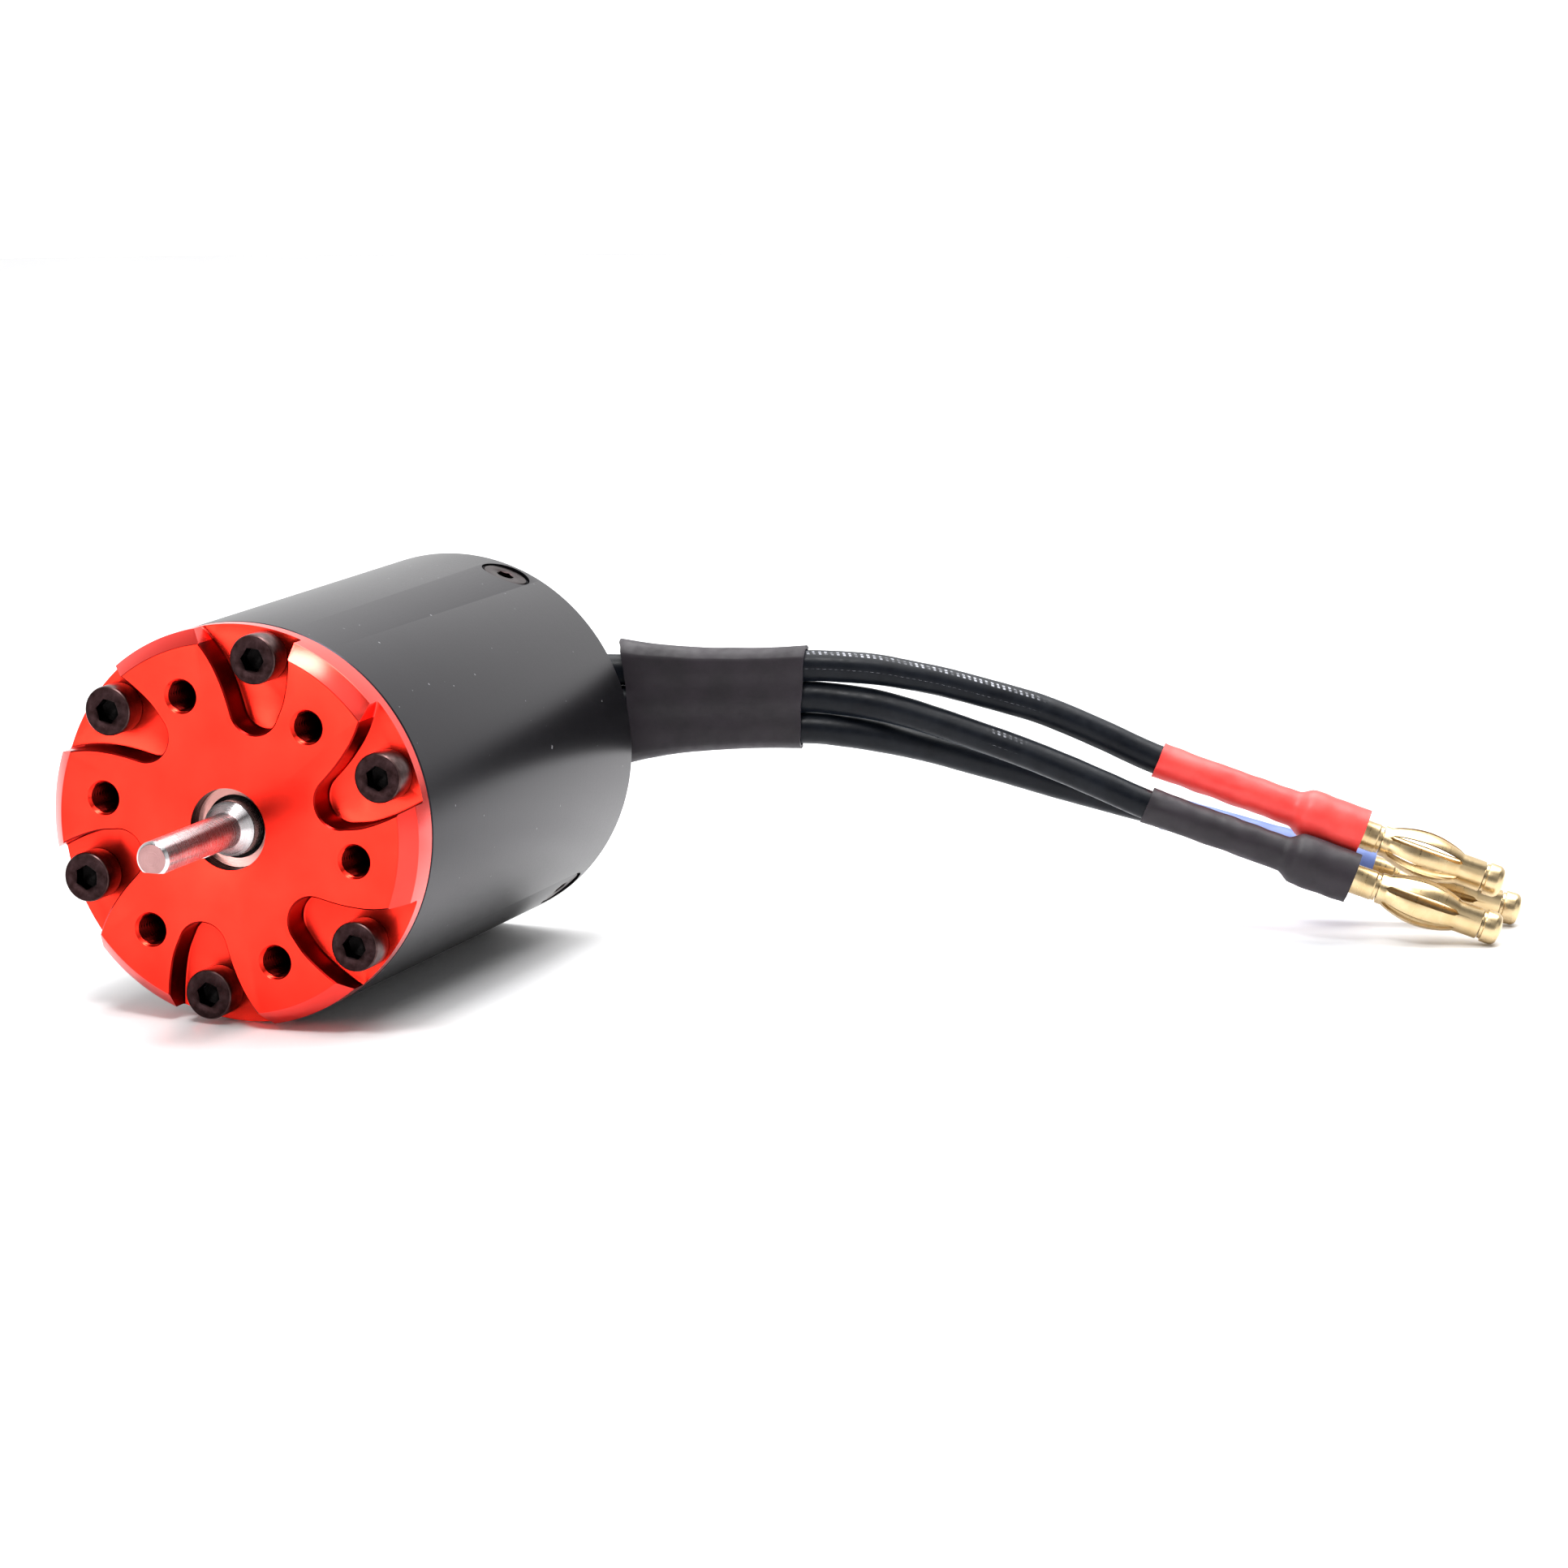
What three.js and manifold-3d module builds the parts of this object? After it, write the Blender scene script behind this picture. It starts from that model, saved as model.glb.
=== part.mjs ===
// Brushless motor, 36 mm can, with three phase leads that end in 4 mm bullet plugs.
// The motor lies on a table: Z is up and z = 0 is the table top.
// The shaft axis runs along Y and the output shaft points to -Y. All lengths are in millimetres.

import * as THREE from 'three';
import { mergeVertices } from 'three/addons/utils/BufferGeometryUtils.js';
import Module from 'manifold-3d';

const wasm = await Module();
wasm.setup();

// ---------------------------------------------------------------- driving dimensions

const CAN_R = 18; // outer radius of the motor
const BODY_LENGTH = 49.6; // front face to rear edge
const SHAFT_REACH = 14.4; // shaft tip ahead of the front face
const FRONT_Y = -(BODY_LENGTH - SHAFT_REACH) / 2; // centres shaft tip to rear edge on the origin

// The motor's own frame has y = 0 at the front face and y growing to the rear.
const PLATE_T = 4.2; // visible thickness of the front endbell
const PLATE_BEVEL = 1.33;
const SPIGOT_R = 13.6;
const SPIGOT_END = 7.5;
const POCKET_DEPTH = 2.9;
const SCREW_CIRCLE_R = 15.5;
const SCREW_HOLE_R = 1.45;
const SCREW_ANGLE = 80.8; // first of six cap screws, degrees from +X towards +Z
const TAPPED_CIRCLE_R = 12.5; // M3 mounting holes on a 25 mm circle
const TAPPED_R = 1.45;
const NOSE_BORE_R = 3.69;
const LIP_R = 2.85;
const LIP_Y = 1.6; // depth of the ring that keeps the front bearing in

const CAN_JOINT_Y = 4.25;
const CAN_SHOULDER_R = 13.8;
const CAN_SHOULDER_END = 11;
const CAN_BORE_R = 16.5;
const REAR_PLATE_Y = [43.6, 49.3];
const REAR_SCREW_Y = 46.5;
const REAR_SCREW_ANGLES = [70.8, -49.2, -169.2];

const FRONT_BEARING_Y = 2;
const REAR_BEARING_Y = 44;
const BEARING = { bore: 2.55, outer: 6.5, width: 4, pitch: 4.5, ball: 1.15, balls: 7 };
const BEARING_SEAT_R = 6.58;

const SHAFT_R = 2.5;
const OUTPUT_R = 1.5875; // 3.175 mm output end
const SHAFT_CONE_Y = 0.25;
const SHAFT_END_Y = 48.6;
const FLAT_DISTANCE = 1.2; // from the axis to the D-flat
const FLAT_LENGTH = 9;

const STACK_Y = [12.3, 36.3]; // stator laminations
const STATOR_BORE_R = 7.25;
const YOKE_R = 13.8;
const TOOTH_HALF = 2.1;
const TOOTH_COUNT = 6;
const COIL_REACH = [9.4, 12.5];
const MAGNET_Y = [11.8, 36.8];
const MAGNET_R = [3.95, 6.45];

const LEAD_R = 1.42;
const LEAD_PITCH = 3.05; // spacing of the three leads where they leave the motor
const LEAD_SLOT = { x: 9.4, z: 3.4 }; // centre of the cable slot, from the shaft axis

const SEGMENTS = 36; // sides of the large round pieces, with one corner on the table
const DEG = Math.PI / 180;

// ---------------------------------------------------------------- materials

function finish(color, roughness, metalness) {
  return new THREE.MeshStandardMaterial({ color, roughness, metalness });
}

const redAnodised = () => finish(0xf2261a, 0.35, 0.6);
const blackAnodised = () => finish(0x2b2c30, 0.42, 0.6);
const blackOxide = () => finish(0x1d1819, 0.4, 0.8);
const brightSteel = () => finish(0xc9c4c3, 0.18, 1);
const bearingSteel = () => finish(0xb5b7ba, 0.22, 1);
const lamination = () => finish(0x6b6d70, 0.5, 0.8);
const copper = () => finish(0xb4562a, 0.35, 0.9);
const magnetNickel = () => finish(0x9fa0a3, 0.3, 0.9);
const insulatorWhite = () => finish(0xd9d4c4, 0.6, 0);
const brass = () => finish(0xb58a3a, 0.35, 0.9);
const gold = () => finish(0xd9a941, 0.22, 1);
const rubberBlack = () => finish(0x141414, 0.8, 0);
const leadBlack = () => finish(0x1a1b1e, 0.6, 0);
const shrinkBlack = () => finish(0x2a2a2e, 0.62, 0);
const shrinkRed = () => finish(0xe8322c, 0.5, 0);
const shrinkBlue = () => finish(0x3f5ea8, 0.5, 0);

// ---------------------------------------------------------------- solids

// Merged positions and outward triangles of a closed geometry.
function closedMesh(geometry) {
  const bare = geometry.clone();
  bare.deleteAttribute('normal');
  bare.deleteAttribute('uv');
  const merged = mergeVertices(bare, 1e-4);
  const vertProperties = new Float32Array(merged.attributes.position.array);
  const index = merged.index.array;
  const triangles = [];
  for (let i = 0; i < index.length; i += 3) {
    const [a, b, c] = [index[i], index[i + 1], index[i + 2]];
    if (a !== b && b !== c && c !== a) triangles.push(a, b, c);
  }
  if (signedVolume(vertProperties, triangles) < 0) triangles.reverse();
  return { vertProperties, triVerts: new Uint32Array(triangles) };
}

function signedVolume(points, triangles) {
  const corner = (i) => new THREE.Vector3().fromArray(points, 3 * i);
  let volume = 0;
  for (let i = 0; i < triangles.length; i += 3) {
    const cross = corner(triangles[i + 1]).cross(corner(triangles[i + 2]));
    volume += corner(triangles[i]).dot(cross);
  }
  return volume;
}

function toManifold(geometry) {
  return new wasm.Manifold(new wasm.Mesh({ numProp: 3, ...closedMesh(geometry) }));
}

function meshGeometry(vertProperties, triVerts) {
  const geometry = new THREE.BufferGeometry();
  geometry.setAttribute('position', new THREE.BufferAttribute(new Float32Array(vertProperties), 3));
  geometry.setIndex(new THREE.BufferAttribute(new Uint32Array(triVerts), 1));
  geometry.computeVertexNormals();
  return geometry;
}

function outward(geometry) {
  const { vertProperties, triVerts } = closedMesh(geometry);
  return meshGeometry(vertProperties, triVerts);
}

// The first geometry, less all the cutters.
function cut(geometry, ...cutters) {
  let solid = toManifold(geometry);
  for (const cutter of cutters) solid = solid.subtract(toManifold(cutter));
  const { vertProperties, triVerts } = solid.getMesh();
  return meshGeometry(vertProperties, triVerts);
}

function join(...geometries) {
  const [first, ...rest] = geometries.map(toManifold);
  const { vertProperties, triVerts } = rest.reduce((sum, solid) => sum.add(solid), first).getMesh();
  return meshGeometry(vertProperties, triVerts);
}

// A closed [radius, y] outline turned about the Y axis.
function turned(outline, segments = SEGMENTS) {
  const points = [...outline, outline[0]].map(([r, y]) => new THREE.Vector2(r, y));
  return outward(new THREE.LatheGeometry(points, segments));
}

// A plain ring between two radii and two stations.
function ring(inner, outer, from, to, segments = SEGMENTS) {
  return turned([[inner, from], [outer, from], [outer, to], [inner, to]], segments);
}

// An outline drawn in X and Z, given thickness from one station to the other along Y.
function plate(shape, from, to, curveSegments = 4) {
  const geometry = new THREE.ExtrudeGeometry(shape, { depth: to - from, bevelEnabled: false, curveSegments });
  geometry.rotateX(Math.PI / 2);
  geometry.translate(0, to, 0);
  return outward(geometry);
}

// A round bar along Y, used for holes and pins.
function bar(radius, from, to, x = 0, z = 0, sides = 16) {
  const geometry = new THREE.CylinderGeometry(radius, radius, to - from, sides);
  geometry.translate(x, (from + to) / 2, z);
  return geometry;
}

// Across-flats hexagonal prism along Y.
function hexBar(acrossFlats, from, to) {
  return bar(acrossFlats / Math.sqrt(3), from, to, 0, 0, 6);
}

const onCircle = (radius, degrees) => [radius * Math.cos(degrees * DEG), radius * Math.sin(degrees * DEG)];

// Turns a geometry about the shaft axis, from +X towards +Z.
function around(geometry, degrees) {
  return geometry.clone().rotateY(-degrees * DEG);
}

// A slot outline: half width along X, half height along Z, round ends.
function stadium(halfWidth, halfHeight, x = 0, z = 0) {
  const shape = new THREE.Shape();
  const straight = halfHeight - halfWidth;
  shape.absarc(x, z + straight, halfWidth, 0, Math.PI, false);
  shape.absarc(x, z - straight, halfWidth, Math.PI, 2 * Math.PI, false);
  shape.closePath();
  return shape;
}

const motor = new THREE.Group();
motor.position.set(0, FRONT_Y, CAN_R);

const group = new THREE.Group();
group.add(motor);

function piece(name, geometry, material, parent = motor) {
  const mesh = new THREE.Mesh(geometry, material);
  mesh.name = name;
  parent.add(mesh);
  return mesh;
}

// ---------------------------------------------------------------- front endbell

// One screw pocket: u runs out along the screw's radius and v to the left of it.
// The nose is an arc; one flank is nearly radial and the other sweeps out to the rim.
function pocketShape() {
  const nose = { u: 11.3, v: -0.95, r: 2.35 };
  const shape = new THREE.Shape();
  shape.moveTo(19.6, -3);
  shape.splineThru([[16, -3.62], [13.4, -3.7], [10.5, -3.16]].map(([u, v]) => new THREE.Vector2(u, v)));
  shape.absarc(nose.u, nose.v, nose.r, 250 * DEG, 115 * DEG, true);
  shape.splineThru([[12.4, 2.27], [14.6, 3.8], [16.6, 6.05], [19, 9.6]]
    .map(([u, v]) => new THREE.Vector2(u, v)));
  shape.closePath();
  return shape;
}

function frontEndbell() {
  const body = turned([
    [NOSE_BORE_R, 0], [CAN_R - PLATE_BEVEL, 0], [CAN_R, PLATE_BEVEL], [CAN_R, PLATE_T], [SPIGOT_R, PLATE_T],
    [SPIGOT_R, SPIGOT_END], [BEARING_SEAT_R, SPIGOT_END], [BEARING_SEAT_R, FRONT_BEARING_Y - 0.05],
    [LIP_R, FRONT_BEARING_Y - 0.05], [LIP_R, LIP_Y], [NOSE_BORE_R, LIP_Y],
  ]);
  const pocket = plate(pocketShape(), -1, POCKET_DEPTH, 2);
  const cutters = [];
  for (let i = 0; i < 6; i++) {
    const screwAngle = SCREW_ANGLE - 60 * i;
    cutters.push(around(pocket, screwAngle));
    cutters.push(bar(SCREW_HOLE_R, 0, PLATE_T + 1, ...onCircle(SCREW_CIRCLE_R, screwAngle), 12));
    cutters.push(bar(TAPPED_R, -1, SPIGOT_END + 1, ...onCircle(TAPPED_CIRCLE_R, screwAngle + 30), 12));
  }
  return cut(body, ...cutters);
}

piece('front_endbell', frontEndbell(), redAnodised());

// Socket cap screw along Y with its head's top face at y = 0.
function capScrew() {
  const head = { r: 2.25, height: 2.48, chamfer: 0.25 };
  const body = turned([
    [0, 0], [head.r - head.chamfer, 0], [head.r, head.chamfer], [head.r, head.height],
    [1.18, head.height], [1.18, 10.1], [0, 10.1],
  ], 16);
  return cut(body, hexBar(2, -1, 1.25));
}

for (let i = 0; i < 6; i++) {
  const [x, z] = onCircle(SCREW_CIRCLE_R, SCREW_ANGLE - 60 * i);
  piece(`front_screw_${i + 1}`, capScrew(), blackOxide()).position.set(x, 0.38, z);
}

// ---------------------------------------------------------------- can and rear endbell

// Countersunk screw along Y with its flat head at y = 0.
function countersunkScrew() {
  const body = turned([[0, 0], [2.1, 0], [2.1, 0.2], [1.15, 1.25], [1.15, 5], [0, 5]], 16);
  return cut(body, hexBar(1.5, -1, 0.8));
}

// The hole that the countersunk screw needs, with its mouth at y = 0.
function countersink() {
  return turned([[0, -1.5], [2.4, -1.5], [2.4, 0.25], [1.45, 1.5], [1.45, 5.6], [0, 5.6]], 16);
}

// Points a geometry that lies along +Y inwards along a radius of the motor.
function radial(geometry, startR, degrees, y) {
  const [x, z] = onCircle(startR, degrees);
  return geometry.clone().rotateZ(Math.PI / 2).rotateY(-degrees * DEG).translate(x, y, z);
}

const REAR_HEAD_R = CAN_R - 0.2; // the flat heads lie just under the can's surface
const rearScrewHoles = REAR_SCREW_ANGLES.map(
  (angle) => radial(countersink(), REAR_HEAD_R, angle, REAR_SCREW_Y),
);

function can() {
  const body = turned([
    [CAN_SHOULDER_R, CAN_JOINT_Y], [CAN_R, CAN_JOINT_Y], [CAN_R, BODY_LENGTH - 0.25],
    [CAN_R - 0.25, BODY_LENGTH], [CAN_BORE_R, BODY_LENGTH], [CAN_BORE_R, CAN_SHOULDER_END],
    [CAN_SHOULDER_R, CAN_SHOULDER_END],
  ]);
  const holes = [];
  for (let i = 0; i < 6; i++) {
    const centre = onCircle(SCREW_CIRCLE_R, SCREW_ANGLE - 60 * i);
    holes.push(bar(SCREW_HOLE_R, CAN_JOINT_Y - 1, CAN_SHOULDER_END + 1, ...centre, 12));
  }
  return cut(body, ...holes, ...rearScrewHoles);
}

function rearEndbell() {
  const [front, back] = REAR_PLATE_Y;
  const body = turned([
    [BEARING_SEAT_R, front], [16.4, front], [16.4, back - 0.4], [16, back], [3.2, back],
    [3.2, back - 0.6], [BEARING_SEAT_R, back - 0.6],
  ]);
  const slot = plate(stadium(2.2, 5.4, LEAD_SLOT.x, LEAD_SLOT.z), front - 1, back + 1);
  return cut(body, slot, ...rearScrewHoles);
}

piece('can', can(), blackAnodised());
piece('rear_endbell', rearEndbell(), blackAnodised());
REAR_SCREW_ANGLES.forEach((angle, i) => {
  piece(`rear_screw_${i + 1}`, radial(countersunkScrew(), REAR_HEAD_R, angle, REAR_SCREW_Y), blackOxide());
});

// ---------------------------------------------------------------- bearings

// Outer and inner rings with a V-shaped raceway each, balls joined to their cage, and two seals.
function bearing(name, start) {
  const middle = start + BEARING.width / 2;
  const end = start + BEARING.width;
  const segments = 20;
  const land = { outer: 5.42, inner: 3.58 };
  const race = { outer: 5.78, inner: 3.24 };

  const outerRing = turned([
    [BEARING.outer, start], [BEARING.outer, end], [land.outer, end], [land.outer, middle + 0.8],
    [race.outer, middle], [land.outer, middle - 0.8], [land.outer, start],
  ], segments);
  const innerRing = turned([
    [BEARING.bore, start], [land.inner, start], [land.inner, middle - 0.8], [race.inner, middle],
    [land.inner, middle + 0.8], [land.inner, end], [BEARING.bore, end],
  ], segments);

  const balls = [];
  for (let i = 0; i < BEARING.balls; i++) {
    const [x, z] = onCircle(BEARING.pitch, (360 / BEARING.balls) * i);
    balls.push(new THREE.SphereGeometry(BEARING.ball, 7, 5).translate(x, middle, z));
  }
  const cage = join(ring(4.2, 4.8, middle - 0.5, middle + 0.5, 14), ...balls);

  piece(`${name}_bearing_outer_ring`, outerRing, bearingSteel());
  piece(`${name}_bearing_inner_ring`, innerRing, bearingSteel());
  piece(`${name}_bearing_balls`, cage, bearingSteel());
  piece(`${name}_bearing_seal_front`, ring(3.68, 5.3, start + 0.05, start + 0.3, segments), rubberBlack());
  piece(`${name}_bearing_seal_rear`, ring(3.68, 5.3, end - 0.3, end - 0.05, segments), rubberBlack());
}

bearing('front', FRONT_BEARING_Y);
bearing('rear', REAR_BEARING_Y);

// A thin spring ring with three waves, between the rear bearing and its seat.
function waveWasher() {
  const geometry = ring(5, 6.4, 48.25, 48.45, 24);
  const points = geometry.attributes.position;
  for (let i = 0; i < points.count; i++) {
    const angle = Math.atan2(points.getZ(i), points.getX(i));
    points.setY(i, points.getY(i) + 0.12 * Math.cos(3 * angle));
  }
  return geometry;
}

piece('preload_wave_washer', waveWasher(), bearingSteel());

// ---------------------------------------------------------------- stator

// Outline of the space inside the teeth: the bore and the winding slots between the teeth.
function slotOutline(boreR, toothHalf, yokeR) {
  const toothAngle = 360 / TOOTH_COUNT;
  const shoeHalf = 24; // half the angle that a tooth's shoe covers
  const sideAngle = Math.asin(toothHalf / yokeR) / DEG;
  const path = new THREE.Path();
  const points = [];
  for (let i = 0; i < TOOTH_COUNT; i++) {
    const tooth = i * toothAngle;
    const side = (u, v) => {
      const [x, z] = onCircle(1, tooth);
      return [u * x - v * z, u * z + v * x];
    };
    points.push(onCircle(boreR + 0.75, tooth - shoeHalf));
    for (let step = -2; step <= 2; step++) points.push(onCircle(boreR, tooth + (step * shoeHalf) / 2));
    points.push(onCircle(boreR + 0.75, tooth + shoeHalf), side(9, toothHalf));
    for (let step = 0; step <= 3; step++) {
      points.push(onCircle(yokeR, tooth + sideAngle + ((toothAngle - 2 * sideAngle) * step) / 3));
    }
    const [x, z] = onCircle(1, tooth + toothAngle);
    points.push([9 * x + toothHalf * z, 9 * z - toothHalf * x]);
  }
  path.setFromPoints(points.map(([x, z]) => new THREE.Vector2(x, z)));
  path.closePath();
  return path;
}

function toothedPlate(outerR, boreR, toothHalf, yokeR, from, to) {
  const shape = new THREE.Shape();
  shape.absarc(0, 0, outerR, 0, 2 * Math.PI, false);
  shape.holes.push(slotOutline(boreR, toothHalf, yokeR));
  return plate(shape, from, to, 20);
}

// A winding wrapped round one tooth, lying along +X: a rounded frame with the tooth through it.
function coil() {
  const side = { inner: 2.45, outer: 4.85 };
  const middle = (STACK_Y[0] + STACK_Y[1]) / 2;
  const half = { inner: middle - 10.9, outer: middle - 8.9 };
  const shape = new THREE.Shape();
  const corner = 2.2;
  shape.moveTo(-side.outer, -half.outer + corner);
  shape.lineTo(-side.outer, half.outer - corner);
  shape.absarc(-side.outer + corner, half.outer - corner, corner, Math.PI, Math.PI / 2, true);
  shape.absarc(side.outer - corner, half.outer - corner, corner, Math.PI / 2, 0, true);
  shape.absarc(side.outer - corner, -half.outer + corner, corner, 0, -Math.PI / 2, true);
  shape.absarc(-side.outer + corner, -half.outer + corner, corner, -Math.PI / 2, -Math.PI, true);
  const hole = new THREE.Path([
    [-side.inner, -half.inner], [side.inner, -half.inner],
    [side.inner, half.inner], [-side.inner, half.inner],
  ].map(([x, y]) => new THREE.Vector2(x, y)));
  hole.closePath();
  shape.holes.push(hole);
  const depth = COIL_REACH[1] - COIL_REACH[0];
  const geometry = new THREE.ExtrudeGeometry(shape, { depth, bevelEnabled: false, curveSegments: 3 });
  geometry.rotateY(Math.PI / 2);
  geometry.translate(COIL_REACH[0], middle, 0);
  return outward(geometry);
}

const INSULATOR_T = 1.1;
piece('stator_core', toothedPlate(16.4, STATOR_BORE_R, TOOTH_HALF, YOKE_R, ...STACK_Y), lamination());
piece('stator_insulator_front', toothedPlate(16, STATOR_BORE_R + 0.3, TOOTH_HALF + 0.1, YOKE_R - 0.1,
  STACK_Y[0] - 0.1 - INSULATOR_T, STACK_Y[0] - 0.1), insulatorWhite());
piece('stator_insulator_rear', toothedPlate(16, STATOR_BORE_R + 0.3, TOOTH_HALF + 0.1, YOKE_R - 0.1,
  STACK_Y[1] + 0.1, STACK_Y[1] + 0.1 + INSULATOR_T), insulatorWhite());
for (let i = 0; i < TOOTH_COUNT; i++) {
  piece(`coil_${i + 1}`, around(coil(), (360 / TOOTH_COUNT) * i), copper());
}

// ---------------------------------------------------------------- rotor

function shaft() {
  const body = turned([
    [0, -SHAFT_REACH], [OUTPUT_R - 0.25, -SHAFT_REACH], [OUTPUT_R, 0.25 - SHAFT_REACH],
    [OUTPUT_R, SHAFT_CONE_Y - (SHAFT_R - OUTPUT_R)], [SHAFT_R, SHAFT_CONE_Y],
    [SHAFT_R, SHAFT_END_Y - 0.3], [SHAFT_R - 0.3, SHAFT_END_Y], [0, SHAFT_END_Y],
  ], 24);
  const belowFlat = new THREE.BoxGeometry(6, FLAT_LENGTH + 1, 2);
  belowFlat.translate(0, -SHAFT_REACH + (FLAT_LENGTH - 1) / 2, -FLAT_DISTANCE - 1);
  return cut(body, belowFlat);
}

// A quarter of the magnet ring, centred on +X, with a narrow gap to its neighbours.
function magnet() {
  const half = 42.5 * DEG;
  const shape = new THREE.Shape();
  shape.absarc(0, 0, MAGNET_R[1], -half, half, false);
  shape.absarc(0, 0, MAGNET_R[0], half, -half, true);
  shape.closePath();
  return plate(shape, ...MAGNET_Y, 8);
}

piece('shaft', shaft(), brightSteel());
piece('rotor_core', ring(SHAFT_R + 0.05, 3.85, ...MAGNET_Y, 24), bearingSteel());
for (let i = 0; i < 4; i++) {
  piece(`magnet_${i + 1}`, around(magnet(), 90 * i + 45), magnetNickel());
}
piece('magnet_sleeve', ring(6.58, 6.85, ...MAGNET_Y, 24), brightSteel());
piece('balance_ring_front', ring(SHAFT_R + 0.05, 6.2, MAGNET_Y[0] - 2, MAGNET_Y[0] - 0.2, 24), brass());
piece('balance_ring_rear', ring(SHAFT_R + 0.05, 6.2, MAGNET_Y[1] + 0.2, MAGNET_Y[1] + 2, 24), brass());
piece('spacer_front', ring(SHAFT_R + 0.05, 3.3, 6.1, MAGNET_Y[0] - 2.1, 24), brightSteel());
piece('spacer_rear', ring(SHAFT_R + 0.05, 3.3, MAGNET_Y[1] + 2.1, REAR_BEARING_Y - 0.1, 24), brightSteel());

// ---------------------------------------------------------------- cable outlet

// A rubber plug that fills the cable slot and hugs the three leads.
const grommetOutline = stadium(2.05, 5.25, LEAD_SLOT.x, LEAD_SLOT.z);
piece('lead_grommet', plate(grommetOutline, 43.4, BODY_LENGTH - 0.1), rubberBlack());

// Insulating tubes over the solder joints between the winding ends and the leads.
for (let i = 0; i < 3; i++) {
  const z = LEAD_SLOT.z + LEAD_PITCH * (1 - i);
  piece(`lead_splice_${i + 1}`, bar(1.3, 40, 43.1, LEAD_SLOT.x, z, 12), insulatorWhite());
}

// ---------------------------------------------------------------- leads, sleeves and bullet plugs

// From here on, places are in the part's own frame.

// Each plug's axis points along its heading (degrees from +X towards +Y) and dips towards the tip.
const PLUG_HEADING = 14;
const SLEEVE_LENGTH = 20.8;
const LEAD_IN_SLEEVE = 14.5; // how far a lead reaches into its coloured sleeve
const TIP_STATION = 34.7; // middle of the tip cap, from the sleeve's mouth

const PLUGS = [
  { color: 'red', material: shrinkRed, tip: [95.6, 59.8, 5.6], dip: 18.9, cupSleeveR: 2.38 },
  { color: 'black', material: shrinkBlack, tip: [96.2, 56.8, 1.65], dip: 18.7, cupSleeveR: 2.48 },
  { color: 'blue', material: shrinkBlue, tip: [95.8, 66.2, 1.65], dip: 14.5, cupSleeveR: 2.25 },
];

// The free stretch of each lead between the main sleeve and its coloured sleeve.
const FREE_ROUTES = {
  red: [
    [35.4, 43.1, 25.3], [38.5, 43.9, 25.1], [41.5, 44.8, 24.6], [44.4, 45.8, 24], [47.4, 46.8, 23.2],
    [50.4, 47.8, 22.35], [53.3, 48.8, 21.45], [56.3, 49.7, 20.25], [59.4, 50.7, 18.85],
  ],
  black: [
    [35.5, 43, 22.1], [38.6, 43.6, 21.7], [41.7, 44.2, 21], [44.8, 44.8, 20.1], [47.9, 45.4, 19.1],
    [51, 46, 18.1], [54.1, 46.6, 17], [57.2, 47.2, 15.8], [60.3, 47.9, 14.5],
  ],
  blue: [
    [35.4, 43.2, 19], [38.3, 44.4, 18.5], [41.1, 45.8, 17.8], [43.9, 47.5, 16.9], [46.6, 49.2, 15.9],
    [49.3, 51, 14.9], [52.1, 52.8, 13.8], [54.9, 54.4, 12.8], [57.8, 55.9, 11.85], [60.7, 57.2, 10.95],
  ],
};

// The main sleeve is straight: it starts where the leads have turned away from the motor.
const MAIN_SLEEVE = { start: [15, 38.7, 21.45], end: [32.4, 42.4, 22.3] };

const REAR_FACE_Y = FRONT_Y + BODY_LENGTH;
const OUTLET = { x: LEAD_SLOT.x, y: REAR_FACE_Y + 0.2, z: CAN_R + LEAD_SLOT.z };
const TURN_R = 5.8; // bend of the leads behind the motor
const TURN_START_Y = REAR_FACE_Y + 0.85;
const TURN_ANGLE = 78;

function plugDirection({ dip }) {
  const level = Math.cos(dip * DEG);
  const [x, y] = onCircle(level, PLUG_HEADING);
  return new THREE.Vector3(x, y, -Math.sin(dip * DEG));
}

function sleeveMouth(plug) {
  return new THREE.Vector3(...plug.tip).addScaledVector(plugDirection(plug), -TIP_STATION);
}

// The whole route of a lead: out of the grommet, round the bend, through the main sleeve,
// along its free stretch and into its coloured sleeve. rank is 1 for the top lead and -1 for the lowest.
function leadRoute(plug, rank) {
  const lift = rank * LEAD_PITCH;
  const points = [new THREE.Vector3(OUTLET.x, OUTLET.y, OUTLET.z + lift)];
  for (let step = 0; step <= 4; step++) {
    const turn = (TURN_ANGLE * DEG * step) / 4;
    points.push(new THREE.Vector3(
      OUTLET.x + TURN_R * (1 - Math.cos(turn)), TURN_START_Y + TURN_R * Math.sin(turn), OUTLET.z + lift));
  }
  const start = new THREE.Vector3(...MAIN_SLEEVE.start);
  const end = new THREE.Vector3(...MAIN_SLEEVE.end);
  for (const along of [0.1, 0.4, 0.7, 1]) {
    const point = start.clone().lerp(end, along);
    point.z += lift;
    points.push(point);
  }
  for (const place of FREE_ROUTES[plug.color]) points.push(new THREE.Vector3(...place));
  const mouth = sleeveMouth(plug);
  for (const depth of [0, LEAD_IN_SLEEVE / 2, LEAD_IN_SLEEVE]) {
    points.push(mouth.clone().addScaledVector(plugDirection(plug), depth));
  }
  return points;
}

function lead(route) {
  const section = new THREE.Shape();
  for (let i = 0; i < 8; i++) {
    const [x, y] = onCircle(LEAD_R, 45 * i);
    if (i === 0) section.moveTo(x, y);
    else section.lineTo(x, y);
  }
  section.closePath();
  const curve = new THREE.CatmullRomCurve3(route, false, 'centripetal');
  return outward(new THREE.ExtrudeGeometry(section, { steps: 34, extrudePath: curve, bevelEnabled: false }));
}

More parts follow.
